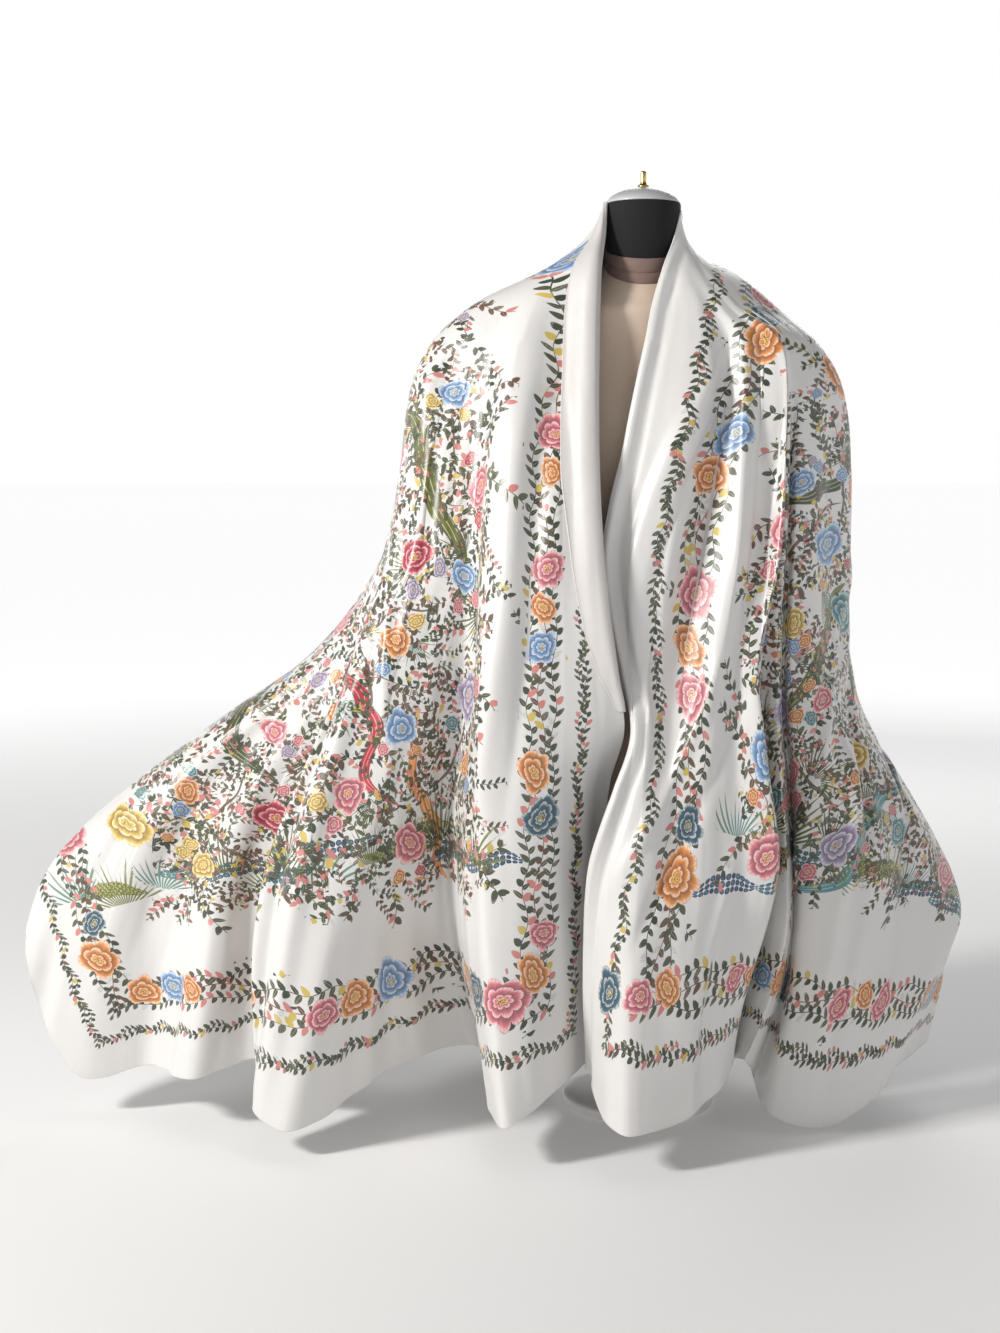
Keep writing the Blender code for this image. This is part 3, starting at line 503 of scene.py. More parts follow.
@dataclass
class Drape:
    """The draped shawl's middle surface, worked out from its fold lines.

    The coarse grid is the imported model's own. The fine one runs through its points, with
    columns in fours and rows in twos, so that the shell's wide cells fit in.
    """

    collar_radius: float = 3.9 * CM
    neck_hollow: float = 0.42
    bay_rows: tuple[int, ...] = (1, 1, 1, 1, 1, 2, 2, 2, 1, 1, 2, 2, 2, 2)
    front_step: float = 3.3 * MM     # width of the fine grid's cells where the cloth shows in front
    back_step: float = 4.2 * MM      # and behind
    row_step: float = 3.4 * MM

    def lines(self) -> np.ndarray:
        """The fold lines as (line, station, xyz) in metres, collar first and hem last."""
        angles, heights = zip(*COLLAR)
        reach, last = self.collar_radius / CM, LEVELS[-1]
        lines = []
        for fold in FOLDS:
            turn = math.radians(fold.angle)
            rise = float(np.interp(fold.angle, angles, heights))
            top = (-reach * math.sin(turn), -reach * math.cos(turn), rise)
            neck = [c + (p - c) * self.neck_hollow for c, p in zip(top, (fold.x[0], fold.y[0]))]
            drops = LEVELS + tuple(last + (fold.hem - last) * k / 4 for k in (1, 2, 3, 4))
            lines.append([top, (*neck, (rise + LEVELS[0]) / 2), *zip(fold.x, fold.y, drops)])
        return np.array(lines, dtype=float) * CM

    def coarse(self) -> tuple[np.ndarray, dict[str, int]]:
        """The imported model's grid, and the column at which each fold line lies."""
        bays = [fold.bays for fold in FOLDS[:-1]]
        starts = dict(zip((fold.name for fold in FOLDS), np.cumsum([0] + bays).tolist()))
        return refine(refine(self.lines(), self.bay_rows, 1), bays, 0), starts

    def fine(self) -> tuple[ClothGrid, dict[str, int]]:
        """The fine grid, and the coarse column at which each fold line lies."""
        coarse, starts = self.coarse()
        corners = starts["wing_corner"], starts["right_corner"]
        both = np.concatenate([coarse, Flattening(coarse, corners).lay()], 2)
        across = gaps_along(coarse, 0).max(1)
        number = np.arange(len(across))
        hidden = (number >= starts["wing_ridge"]) & (number < starts["right_outline"])
        step = np.where(hidden, self.back_step, self.front_step)
        columns = (4 * np.ceil(across / (4 * step))).astype(int)
        drop = gaps_along(coarse, 1).mean(0)
        rows = (2 * np.ceil(drop / (2 * self.row_step))).astype(int)
        filled = refine(refine(both, rows.tolist(), 1), columns.tolist(), 0)
        begins = np.concatenate([[0], np.cumsum(columns)]).tolist()
        return ClothGrid(filled[..., :3], filled[..., 3:], begins), starts


@dataclass
class Stretch:
    """A run of the cloth's columns that becomes one piece, with what its two sides are."""

    name: str
    cloth: ClothGrid
    first: int
    last: int
    left: Border
    right: Border

    def __post_init__(self) -> None:
        """Takes its share of the cloth."""
        part = slice(self.first, self.last + 1)
        self.points, self.normals = self.cloth.points[part], self.cloth.normals[part]
        self.along, self.down = self.cloth.along[part], self.cloth.down[part]
        self.flat = self.cloth.flat[part]

    def outward(self) -> np.ndarray:
        """The direction out of the cloth at each hem, and nothing at a seam."""
        way = np.zeros_like(self.along)
        way[:, 0] -= self.down[:, 0]
        way[:, -1] += self.down[:, -1]
        if self.left is Border.ROLLED:
            way[0] -= self.along[0]
        if self.right is Border.ROLLED:
            way[-1] += self.along[-1]
        way -= (way * self.normals).sum(-1, keepdims=True) * self.normals
        length = np.linalg.norm(way, axis=-1, keepdims=True)
        return np.where(length > 0.1, way / np.maximum(length, 0.1), 0)


@dataclass
class Shell:
    """A thin closed skin on both faces of a stretch of cloth.

    Its cells are a few columns wide near the neck, where the columns crowd, and the face that
    lies against the form is coarser than the one that shows.
    """

    thickness: float = 0.9 * MM
    hem_radius: float = 1.0 * MM
    hem_pull: float = 1.9        # how far both faces stop short of a hem, in its radii
    hem_arc: float = 300.0       # degrees that the roll of a hem goes round
    turns: int = 6               # how many faces go round a hem

    def build(self, stretch: Stretch, widths: np.ndarray) -> "ShellMesh":
        """Makes the skin of one stretch.

        Args:
            stretch: the stretch.
            widths: how many columns a cell takes in each row.

        Returns:
            The mesh's data.
        """
        points, normals, out = stretch.points, stretch.normals, stretch.outward()
        shape = points.shape[:2]
        sheet = ShellMesh(stretch.name, stretch.flat)
        back_widths = np.where(widths == 1, 2, 4)
        active, back_active = self.spacing(widths), self.spacing(back_widths)
        rim = self.rim(shape, active)
        top, bottom = (points + normals * side * self.thickness / 2 for side in (1, -1))
        for face in (top, bottom):
            face[rim] -= out[rim] * (self.hem_radius * self.hem_pull)
        shown = self.shown(shape, back_active, 2)
        shown[rim] = True
        front = sheet.add_grid(self.shown(shape, active, 1), top, normals)
        back = sheet.add_grid(shown, bottom, -normals)
        sheet.add_cells(front, widths, active, 1, False)
        sheet.add_cells(back, back_widths, back_active, 2, True)
        self.wrap(sheet, front[rim], back[rim], points[rim], normals[rim], out[rim], stretch.flat[rim])
        return sheet

    def spacing(self, widths: np.ndarray) -> np.ndarray:
        """How many columns lie between the vertices of each row, given the cells' widths."""
        return np.concatenate([widths[:1], np.minimum(widths[1:], widths[:-1]), widths[-1:]])

    def shown(self, shape: tuple[int, int], spacing: np.ndarray, tall: int) -> np.ndarray:
        """Which grid places one face uses.

        Args:
            shape: how many columns and rows the grid has.
            spacing: how many columns lie between the vertices of each row.
            tall: how many rows a cell takes.

        Returns:
            A mask of the grid.
        """
        used = np.zeros(shape, bool)
        for row in range(0, shape[1], tall):
            used[::spacing[row], row] = True
        return used

    def rim(self, shape: tuple[int, int], active: np.ndarray) -> tuple[np.ndarray, np.ndarray]:
        """The columns and rows of the grid places round the edge, in the order of its front faces.

        Args:
            shape: how many columns and rows the grid has.
            active: how many columns lie between the vertices of each row.

        Returns:
            The columns and the rows of those places.
        """
        columns, rows = shape
        top = [(c, 0) for c in range(0, columns, active[0])]
        right = [(columns - 1, r) for r in range(1, rows)]
        bottom = [(c, rows - 1) for c in range(columns - 1 - active[-1], -1, -active[-1])]
        left = [(0, r) for r in range(rows - 2, 0, -1)]
        return tuple(np.array(side) for side in zip(*top, *right, *bottom, *left))

    def wrap(
        self,
        sheet: "ShellMesh",
        front: np.ndarray,
        back: np.ndarray,
        place: np.ndarray,
        face: np.ndarray,
        way: np.ndarray,
        flat: np.ndarray,
    ) -> None:
        """Joins both faces round the edge, with a small roll at a hem.

        Args:
            sheet: the mesh's data.
            front: vertices of the front face, one for each place round the edge.
            back: vertices of the back face.
            place: the cloth's points.
            face: its normals.
            way: the direction out of the cloth at a hem.
            flat: the places on the cut sheet.
        """
        rolled = np.linalg.norm(way, axis=1) > 0.5
        rings = [front]
        for k in range(1, self.turns):
            turn = math.radians(self.hem_arc / 2 - self.hem_arc * k / self.turns)
            round_way = math.cos(turn) * way + math.sin(turn) * face
            hem = place - way * self.hem_radius + round_way * self.hem_radius
            straight = place + face * self.thickness * (0.5 - k / self.turns)
            spot = np.where(rolled[:, None], hem, straight)
            lean = np.where(rolled[:, None], round_way, face if k * 2 < self.turns else -face)
            rings.append(sheet.add_points(spot, unit(lean), flat))
        rings.append(back)
        for near, far in zip(rings, rings[1:]):
            sheet.add_faces(np.stack([np.roll(near, -1), near, far, np.roll(far, -1)], 1))


@dataclass
class ShellMesh:
    """Vertices, normals, flat places and faces of one piece of cloth, before it becomes a mesh."""

    name: str
    flat_grid: np.ndarray
    points: list[np.ndarray] = field(default_factory=list)
    normals: list[np.ndarray] = field(default_factory=list)
    flats: list[np.ndarray] = field(default_factory=list)
    faces: list[np.ndarray] = field(default_factory=list)
    sides: list[int] = field(default_factory=list)
    count: int = 0

    def add_points(self, points: np.ndarray, normals: np.ndarray, flat: np.ndarray) -> np.ndarray:
        """Adds vertices and returns their numbers.

        Args:
            points: their places.
            normals: their normals.
            flat: their places on the cut sheet.

        Returns:
            Their numbers.
        """
        self.points.append(points)
        self.normals.append(normals)
        self.flats.append(flat)
        numbers = np.arange(self.count, self.count + len(points))
        self.count += len(points)
        return numbers

    def add_grid(self, shown: np.ndarray, points: np.ndarray, normals: np.ndarray) -> np.ndarray:
        """Adds the grid points that are shown and returns their numbers, with -1 elsewhere."""
        numbers = np.full(shown.shape, -1)
        numbers[shown] = self.add_points(points[shown], normals[shown], self.flat_grid[shown])
        return numbers

    def add_faces(self, faces: np.ndarray, turned: bool = False) -> None:
        """Adds faces of one size to the printed side, or turned round to the reverse."""
        if len(faces):
            self.faces.append(faces[:, ::-1] if turned else faces)
            self.sides.append(int(turned))

    def add_cells(
        self, numbers: np.ndarray, widths: np.ndarray, active: np.ndarray, tall: int, turned: bool
    ) -> None:
        """Adds the cells of one face of the cloth.

        Args:
            numbers: the vertices, with -1 where the grid has none.
            widths: how many columns a cell takes in each row.
            active: how many columns lie between the vertices of each row.
            tall: how many rows a cell takes.
            turned: whether the faces look the other way.
        """
        columns, rows = numbers.shape
        for row in range(0, rows - 1, tall):
            wide, low = widths[row], row + tall
            at = np.arange(0, columns - 1, wide)
            plain = np.ones(len(at), bool)
            if turned:
                plain[[0, -1]] = False
            if low == rows - 1 or active[low] < wide:
                plain[:] = False
            cells = at[plain]
            quads = [(cells, row), (cells + wide, row), (cells + wide, low), (cells, low)]
            faces = np.stack([numbers[c, r] for c, r in quads], 1)
            self.add_faces(faces, turned)
            for c in at[~plain]:
                loop = [numbers[k, row] for k in range(c, c + wide)]
                loop += [numbers[c + wide, r] for r in range(row, low)]
                loop += [numbers[k, low] for k in range(c + wide, c, -1)]
                loop += [numbers[c, r] for r in range(low, row, -1)]
                self.add_faces(np.array([v for v in loop if v >= 0])[None], turned)

    def make(self, materials: Iterable[bpy.types.Material]) -> bpy.types.Object:
        """Makes the object.

        Args:
            materials: the finish of the printed side and of the reverse.

        Returns:
            The object, linked to the scene.
        """
        places = np.concatenate(self.points)
        corners = np.concatenate([f.ravel() for f in self.faces])
        sizes = np.concatenate([np.full(len(f), f.shape[1]) for f in self.faces])
        sides = np.concatenate([np.full(len(f), side) for f, side in zip(self.faces, self.sides)])
        mesh = bpy.data.meshes.new(self.name)
        mesh.vertices.add(len(places))
        mesh.vertices.foreach_set("co", places.astype(np.float32).ravel())
        mesh.loops.add(len(corners))
        mesh.loops.foreach_set("vertex_index", corners.astype(np.int32))
        mesh.polygons.add(len(sizes))
        mesh.polygons.foreach_set("loop_start", (np.cumsum(sizes) - sizes).astype(np.int32))
        mesh.polygons.foreach_set("material_index", sides.astype(np.int32))
        mesh.update(calc_edges=True)
        mesh.validate()
        mesh.polygons.foreach_set("use_smooth", np.ones(len(sizes), bool))
        mesh.normals_split_custom_set_from_vertices(np.concatenate(self.normals).astype(np.float32))
        for material in materials:
            mesh.materials.append(material)
        piece = bpy.data.objects.new(self.name, mesh)
        bpy.context.scene.collection.objects.link(piece)
        return piece


@dataclass(frozen=True)
class Crease:
    """A soft fold in the cloth along a line on the flat sheet, in metres.

    height is how far it stands out of the face, or sinks into it if it is below nothing.
    """

    start: tuple[float, float]
    end: tuple[float, float]
    width: float
    height: float
    sag: float = 0.0             # how far the line bows sideways in its middle


CREASES = (
    # the side that swings out
    Crease((-0.44, 0.360), (-0.89, 0.515), 9 * MM, -10.0 * MM),
    Crease((-0.44, 0.332), (-0.89, 0.487), 11 * MM, 7.0 * MM),
    Crease((-0.42, 0.385), (-0.80, 0.570), 9 * MM, 4.0 * MM, 0.02),
    Crease((-0.50, 0.520), (-0.84, 0.660), 9 * MM, 3.5 * MM, 0.02),
    Crease((-0.46, 0.480), (-0.86, 0.600), 9 * MM, -4.0 * MM, -0.01),
    Crease((-0.52, 0.620), (-0.88, 0.740), 9 * MM, -3.5 * MM, 0.01),
    # the left front
    Crease((-0.16, 0.128), (-0.66, 0.172), 13 * MM, 6.0 * MM, -0.012),
    Crease((-0.18, 0.104), (-0.66, 0.138), 10 * MM, -4.5 * MM, -0.012),
    Crease((-0.42, 0.252), (-0.90, 0.250), 9 * MM, -6.0 * MM, 0.006),
    Crease((-0.36, 0.215), (-0.88, 0.212), 10 * MM, 4.0 * MM, 0.006),
    Crease((-0.17, 0.208), (-0.46, 0.335), 9 * MM, 4.5 * MM, -0.02),
    Crease((-0.20, 0.190), (-0.50, 0.292), 8 * MM, -4.0 * MM, -0.02),
    Crease((-0.26, 0.280), (-0.62, 0.318), 8 * MM, 4.0 * MM, 0.02),
    # the right front
    Crease((0.21, 0.120), (0.58, 0.200), 8 * MM, -8.0 * MM),
    Crease((0.21, 0.098), (0.58, 0.174), 9 * MM, 5.0 * MM),
    Crease((0.24, 0.080), (0.62, 0.026), 8 * MM, 4.5 * MM, 0.020),
    Crease((0.28, 0.100), (0.67, 0.042), 8 * MM, -5.0 * MM, 0.020),
    Crease((0.50, 0.168), (0.74, 0.030), 9 * MM, 5.0 * MM, 0.012),
    Crease((0.54, 0.185), (0.80, 0.060), 9 * MM, -4.0 * MM, 0.012),
    Crease((0.68, 0.165), (0.89, 0.156), 9 * MM, 4.0 * MM),
    Crease((0.30, 0.260), (0.72, 0.300), 8 * MM, -4.5 * MM, 0.020),
    Crease((0.36, 0.330), (0.82, 0.420), 9 * MM, 4.5 * MM, -0.020),
    Crease((0.42, 0.412), (0.88, 0.560), 9 * MM, -6.0 * MM),
    Crease((0.42, 0.388), (0.88, 0.534), 9 * MM, 4.0 * MM),
    # the back
    Crease((-0.30, 0.550), (-0.60, 0.800), 10 * MM, -4.5 * MM, 0.03),
    Crease((-0.20, 0.420), (-0.46, 0.700), 9 * MM, 4.0 * MM, -0.03),
    Crease((-0.10, 0.380), (-0.16, 0.820), 10 * MM, -4.5 * MM, 0.02),
    Crease((0.05, 0.400), (0.10, 0.840), 11 * MM, 4.5 * MM, 0.02),
    Crease((0.18, 0.400), (0.30, 0.840), 10 * MM, 4.0 * MM, -0.02),
    Crease((0.30, 0.580), (0.56, 0.820), 10 * MM, 4.5 * MM, -0.03),
    Crease((0.28, 0.340), (0.66, 0.480), 10 * MM, 4.0 * MM, 0.03),
    Crease((0.40, 0.520), (0.80, 0.620), 9 * MM, -4.5 * MM, 0.02),
)


@dataclass(frozen=True)
class Waves:
    """Uneven waves: their height, and their lengths across and down the cloth."""

    height: float
    across: float
    down: float
    seed: int

    def at(self, place: np.ndarray, run: np.ndarray, shift: np.ndarray | float = 0.0) -> np.ndarray:
        """The waves at height one, that far across and down, and shifted by so many waves."""
        return ripple(place / self.across + shift, run / self.down, self.seed)


@dataclass
class Relief:
    """The shallow waves and creases of soft satin, laid over the main folds."""

    sway: Waves = Waves(0.6, 20 * CM, 15 * CM, 3)       # in wavelengths of the other waves
    swell: Waves = Waves(3.2 * MM, 3.1 * CM, 17 * CM, 5)
    crinkle: Waves = Waves(0.5 * MM, 11 * MM, 5 * CM, 8)
    patches: Waves = Waves(1.0, 10 * CM, 10 * CM, 9)    # where the crinkle is
    flutes: Waves = Waves(2.2 * MM, 3.6 * CM, 30 * CM, 12)
    flute_reach: float = 5 * CM      # how far up from the hem
    hem_rows: int = 30               # the rows that give the cloth's width at the hem
    edge_roll: float = 3.0 * MM
    creases: tuple[Crease, ...] = CREASES

    def shape(self, cloth: ClothGrid) -> None:
        """Moves the cloth's points.

        Args:
            cloth: the whole cloth.
        """
        points = cloth.points
        across = gaps_along(points, 0)
        gap = np.concatenate([across[:1], across])
        hem = gap[:, -self.hem_rows:].mean(1, keepdims=True)
        place = np.cumsum(hem, 0) + np.zeros_like(gap)
        run = np.concatenate([np.zeros((len(points), 1)), np.cumsum(gaps_along(points, 1), 1)], 1)
        left = run[:, -1:] - run
        spread = np.clip(gap / hem, 0, 1)
        grown = spread * smooth(4 * CM, 40 * CM, run)
        sway = self.sway.height * self.sway.at(place, run)
        fine = self.crinkle.at(place, run, 2 * sway) * smooth(-0.2, 0.5, self.patches.at(place, run))
        height = self.swell.height * self.swell.at(place, run, sway) * grown
        height += self.crinkle.height * fine * grown
        flutes = self.flutes.at(place, run) * np.exp(-left / self.flute_reach)
        height += self.flutes.height * flutes * smooth(0, 5 * CM, left + 2 * CM)
        cloth.push(height)
        self.press(cloth, spread)
        self.roll_edge(cloth)

    def press(self, cloth: ClothGrid, spread: np.ndarray) -> None:
        """Lays the creases of the table into the cloth.

        Args:
            cloth: the whole cloth.
            spread: how far apart the columns are, as a share of their distance at the hem.
        """
        height = np.zeros(cloth.points.shape[:2])
        for crease in self.creases:
            start, end = np.array(crease.start), np.array(crease.end)
            length = float(np.linalg.norm(end - start))
            way = (end - start) / length
            off = cloth.flat - start
            share = (off @ way) / length
            aside = off[..., 0] * way[1] - off[..., 1] * way[0] - crease.sag * 4 * share * (1 - share)
            fade = smooth(-0.1, 0.3, share) * smooth(1.1, 0.7, share)
            height += crease.height * np.exp(-(aside / crease.width) ** 2) * fade
        cloth.push(height * spread)

    def roll_edge(self, cloth: ClothGrid) -> None:
        """Gives the right front edge its full bright roll, with a hollow beside it.

        Args:
            cloth: the whole cloth.
        """
        gap = gaps_along(cloth.points, 0)[::-1]
        inset = np.concatenate([np.zeros((1, gap.shape[1])), np.cumsum(gap, 0)])[::-1]
        ridges = ((5 * MM, 4 * MM), (17 * MM, 5 * MM))       # how far in, and how wide
        roll, hollow = (np.exp(-((inset - at) / wide) ** 2) for at, wide in ridges)
        fade = smooth(0.02, 0.10, np.linspace(0, 0.9, inset.shape[1]))[None]
        cloth.push((self.edge_roll * roll - 0.8 * self.edge_roll * hollow) * fade)


class Ink(Enum):
    """Colours of the print, as linear red, green and blue."""

    LEAF = (0.030, 0.045, 0.030)
    OLIVE = (0.15, 0.16, 0.035)
    MOSS = (0.060, 0.085, 0.030)
    ORANGE = (0.78, 0.30, 0.07)
    ROSE = (0.74, 0.22, 0.26)
    CRIMSON = (0.55, 0.05, 0.08)
    SKY = (0.22, 0.40, 0.66)
    TEAL = (0.045, 0.14, 0.19)
    NAVY = (0.03, 0.06, 0.14)
    PETROL = (0.10, 0.30, 0.33)
    GOLD = (0.72, 0.50, 0.10)
    BARK = (0.13, 0.060, 0.045)
    MAUVE = (0.42, 0.36, 0.52)


GARLAND_INKS = (Ink.ORANGE, Ink.ROSE, Ink.TEAL, Ink.ORANGE, Ink.SKY, Ink.ORANGE, Ink.ROSE)
FIELD_INKS = (Ink.ROSE, Ink.SKY, Ink.ORANGE, Ink.CRIMSON, Ink.MAUVE, Ink.PETROL, Ink.ROSE, Ink.GOLD)
STREAM_INKS = (Ink.ORANGE, Ink.PETROL, Ink.CRIMSON, Ink.MOSS, Ink.TEAL, Ink.OLIVE)
BANK_INKS = (Ink.NAVY, Ink.TEAL, Ink.OLIVE)
GRASS_INKS = (Ink.OLIVE, Ink.MOSS, Ink.PETROL, Ink.LEAF)
TWIG_INKS = (Ink.LEAF, Ink.LEAF, Ink.MOSS, Ink.LEAF, Ink.BARK, Ink.BARK)


class Layer(Enum):
    """Layers of the print, from the lowest to the one on top."""

    STREAM = "stream"
    TUFT = "tuft"
    SPRAY = "spray"
    SPRIG = "sprig"
    BLOOM = "bloom"


@dataclass(frozen=True)
class Motif:
    """One printed motif on the flat sheet.

    at is its middle or root in metres, turn its angle in degrees, size the length of one of
    its own units in metres, and box its reach in those units, as two ends along it and two
    across it. wave bends it to that height, over that many of its units, taper narrows it to
    both ends, and warp makes it uneven.
    """

    at: Spot
    turn: float
    size: float
    box: tuple[float, float, float, float]
    ink: Ink
    seed: float
    wave: tuple[float, float] = (0.0, 1.0)
    width: float = 1.0
    taper: bool = False
    warp: float = 0.0

    def local(self, flat: np.ndarray) -> np.ndarray:
        """Where places lie in the motif.

        Args:
            flat: places on the flat sheet (..., uv).

        Returns:
            The same in the motif's own units (..., xy).
        """
        turn = math.radians(self.turn)
        across = (flat - np.array(self.at)) / self.size
        x = across[..., 0] * math.cos(turn) + across[..., 1] * math.sin(turn)
        y = across[..., 1] * math.cos(turn) - across[..., 0] * math.sin(turn)
        if self.warp:
            twist = self.seed * 40
            x, y = x + self.warp * np.sin(3.1 * y + twist), y + self.warp * np.sin(3.7 * x + 2 * twist)
        height, length = self.wave
        fade = np.minimum(1, np.abs(x) / length * 3)
        y = y - height * np.sin(2 * math.pi * (x / length + self.seed)) * fade
        wide = self.width
        if self.taper:
            share = np.clip((x - self.box[0]) / (self.box[1] - self.box[0]), 0, 1)
            wide = wide * np.maximum(np.sin(math.pi * share) ** 0.6, 0.05)
        return np.stack([x, y / wide], -1)


@dataclass(frozen=True)
class Running:
    """A twig that runs all round the sheet, at one distance from its edge.

    reach is how far it may spread to each side, and wave and period its waviness, in pitches.
    """

    layer: Layer
    inset: float
    pitch: float
    reach: float
    wave: float
    period: float
    ink: Ink
    seed: float


@dataclass
class Layout:
    """Where the motifs lie on the flat sheet: two borders all round, and a flowering field."""

    garland_in: float = 9.7 * CM     # from the edge to the middle of the garland
    rows: tuple[Running, ...] = (
        Running(Layer.SPRIG, 4.90 * CM, 0.78 * CM, 1.10 * CM, 0.35, 5.3, Ink.LEAF, 0.371),
        Running(Layer.SPRAY, 5.15 * CM, 0.66 * CM, 1.15 * CM, 0.75, 7.1, Ink.LEAF, 0.372),
        Running(Layer.SPRIG, 8.35 * CM, 1.05 * CM, 1.30 * CM, 0.30, 6.2, Ink.LEAF, 0.373),
        Running(Layer.SPRAY, 9.70 * CM, 1.10 * CM, 1.60 * CM, 0.45, 8.3, Ink.BARK, 0.374),
        Running(Layer.SPRIG, 11.05 * CM, 1.08 * CM, 1.30 * CM, 0.30, 5.1, Ink.LEAF, 0.375),
    )
    field_in: float = 19.0 * CM      # where the flowering field begins at the short edges
    field_low: float = 0.165         # and at the long ones
    leaf_step: float = 2.1 * CM      # between the garland's loose leaves
    flower_step: float = 9.4 * CM    # between the field's flowers
    streamers: int = 20
    branches: int = 26
    tufts: int = 90
    seed: int = 11

    def __post_init__(self) -> None:
        """Lays out all the motifs that are placed one by one."""
        self.rng = np.random.default_rng(self.seed)
        self.made: dict[Layer, list[Motif]] = {layer: [] for layer in Layer}
        self.lay_garland()
        self.lay_streams()
        self.lay_ground()
        self.lay_flowers()
        self.lay_twigs(Layer.SPRAY, 2.5 * CM, (0.75, 1.25))
        self.lay_twigs(Layer.SPRIG, 1.9 * CM, (0.52, 0.90))
        self.lay_tufts()

    def draw(self, low: float, high: float) -> float:
        """An even draw between two values."""
        return float(self.rng.uniform(low, high))

    def pick(self, inks: Sequence[Ink]) -> Ink:
        """One of the inks by chance."""
        return inks[int(self.rng.integers(len(inks)))]

    def from_edges(self, flat: np.ndarray) -> tuple[np.ndarray, np.ndarray]:
        """How far places on the sheet lie in from each of its four edges, and along it."""
        u, v = flat[..., 0], flat[..., 1]
        gaps = np.stack([v, u + HALF_LONG, CUT_WIDE - v, HALF_LONG - u])
        return gaps, np.stack([u, v, -u, -v])

    def edge_spot(self, side: int, run: float, inset: float) -> Spot:
        """The place that far along an edge and that far in from it."""
        spots = ((run, inset), (inset - HALF_LONG, run), (-run, CUT_WIDE - inset), (HALF_LONG - inset, -run))
        return spots[side]

    def inside(self, u: float, v: float, more: float) -> bool:
        """Whether a place lies in the field, or so much further in."""
        end = HALF_LONG - abs(u)
        return min(v, CUT_WIDE - v) > self.field_low + more and end > self.field_in + more + 1.5 * CM

    def bloom(self, at: Spot, radius: float, ink: Ink) -> None:
        """Lays a flower with that middle and radius.

        Args:
            at: its middle.
            radius: its radius.
            ink: its colour.
        """
        reach = 1.15
        width, turn = self.draw(0.78, 1.0), self.draw(0, 360)
        box = (-reach, reach, -reach, reach)
        flower = Motif(at, turn, radius, box, ink, self.draw(0, 1), width=width, warp=0.11)
        self.made[Layer.BLOOM].append(flower)

    def sprig(self, layer: Layer, root: Spot, leaves: int, pitch: float, ink: Ink) -> None:
        """Lays a leafy twig from a root, any way round.

        Args:
            layer: the layer of the print.
            root: where it begins.
            leaves: how many pairs of leaves it has.
            pitch: how far apart they are.
            ink: its colour.
        """
        turn, bend = self.draw(0, 360), self.draw(-0.6, 0.6)
        box = (0, leaves, -1.25, 1.25)
        self.made[layer].append(Motif(root, turn, pitch, box, ink, self.draw(0, 1), (bend, leaves * 1.7)))

    def stream(
        self, at: Spot, turn: float, reach: Spot, ink: Ink, seed: float, wave: Spot, width: float
    ) -> None:
        """Lays a waving band that is narrow at both ends.

        Args:
            at: its middle.
            turn: its angle in degrees.
            reach: how far it goes along and across, in cm.
            ink: its colour.
            seed: its chance, which also says what kind of band it is.
            wave: the height and length of its waves, in cm.
            width: half its width, in cm.
        """
        long, wide = reach
        box = (-long, long, -wide, wide)
        self.made[Layer.STREAM].append(Motif(at, turn, CM, box, ink, seed, wave, width, True))

    def tuft(self, at: Spot, turn: float, size: float, ink: Ink) -> None:
        """Lays a tuft of grass with that root."""
        self.made[Layer.TUFT].append(Motif(at, turn, size, (-0.75, 0.75, -0.12, 1.05), ink, self.draw(0, 1)))

    def lay_garland(self) -> None:
        """Flowers in turn along the garland on all four sides, with loose leaves."""
        for side, (first, last) in enumerate(((-0.80, 0.80), (0.1, 0.80), (-0.80, 0.80), (-0.80, -0.1))):
            run, number = first, side
            while run < last:
                for _ in range(int(self.rng.integers(2, 4))):
                    radius = self.draw(1.5, 2.7) * CM
                    inset = self.garland_in + self.draw(-0.9, 0.9) * CM
                    spot = self.edge_spot(side, run + radius, inset)
                    self.bloom(spot, radius, GARLAND_INKS[number % len(GARLAND_INKS)])
                    run += 1.9 * radius
                    number += 1
                run += self.draw(4.5, 9.5) * CM
            for number in range(int((last - first) / self.leaf_step)):
                inset = self.garland_in + self.draw(-2.2, 2.2) * CM
                root = self.edge_spot(side, first + self.leaf_step * number, inset)
                self.sprig(Layer.SPRIG, root, 2, self.draw(0.75, 1.0) * CM, Ink.LEAF)

    def lay_streams(self) -> None:
        """Long waving streamers and branches over the field."""
        for number in range(self.streamers):
            u = -0.66 + 1.32 * (number + 0.5 * self.draw(0, 1)) / self.streamers
            v = (0.26, 0.44, 0.33, 0.60, 0.50)[number % 5] + self.draw(-0.03, 0.03)
            reach, width, turn = self.draw(8, 15), self.draw(0.6, 1.3), self.draw(-50, 50)
            seed, wave = self.draw(0, 1), (self.draw(0.8, 2.0), self.draw(9, 16))
            ink = STREAM_INKS[number % len(STREAM_INKS)]
            self.stream((u, v), turn, (reach, 1.3), ink, seed, wave, width)
        for number in range(self.branches):
            at = self.draw(-0.68, 0.68), self.draw(0.21, 0.68)
            reach, turn = self.draw(4, 9), self.draw(0, 180)
            seed, wave = self.draw(0, 1), (self.draw(0.5, 1.2), self.draw(7, 12))
            self.stream(at, turn, (reach, 2.5), Ink.BARK, seed, wave, 0.2)

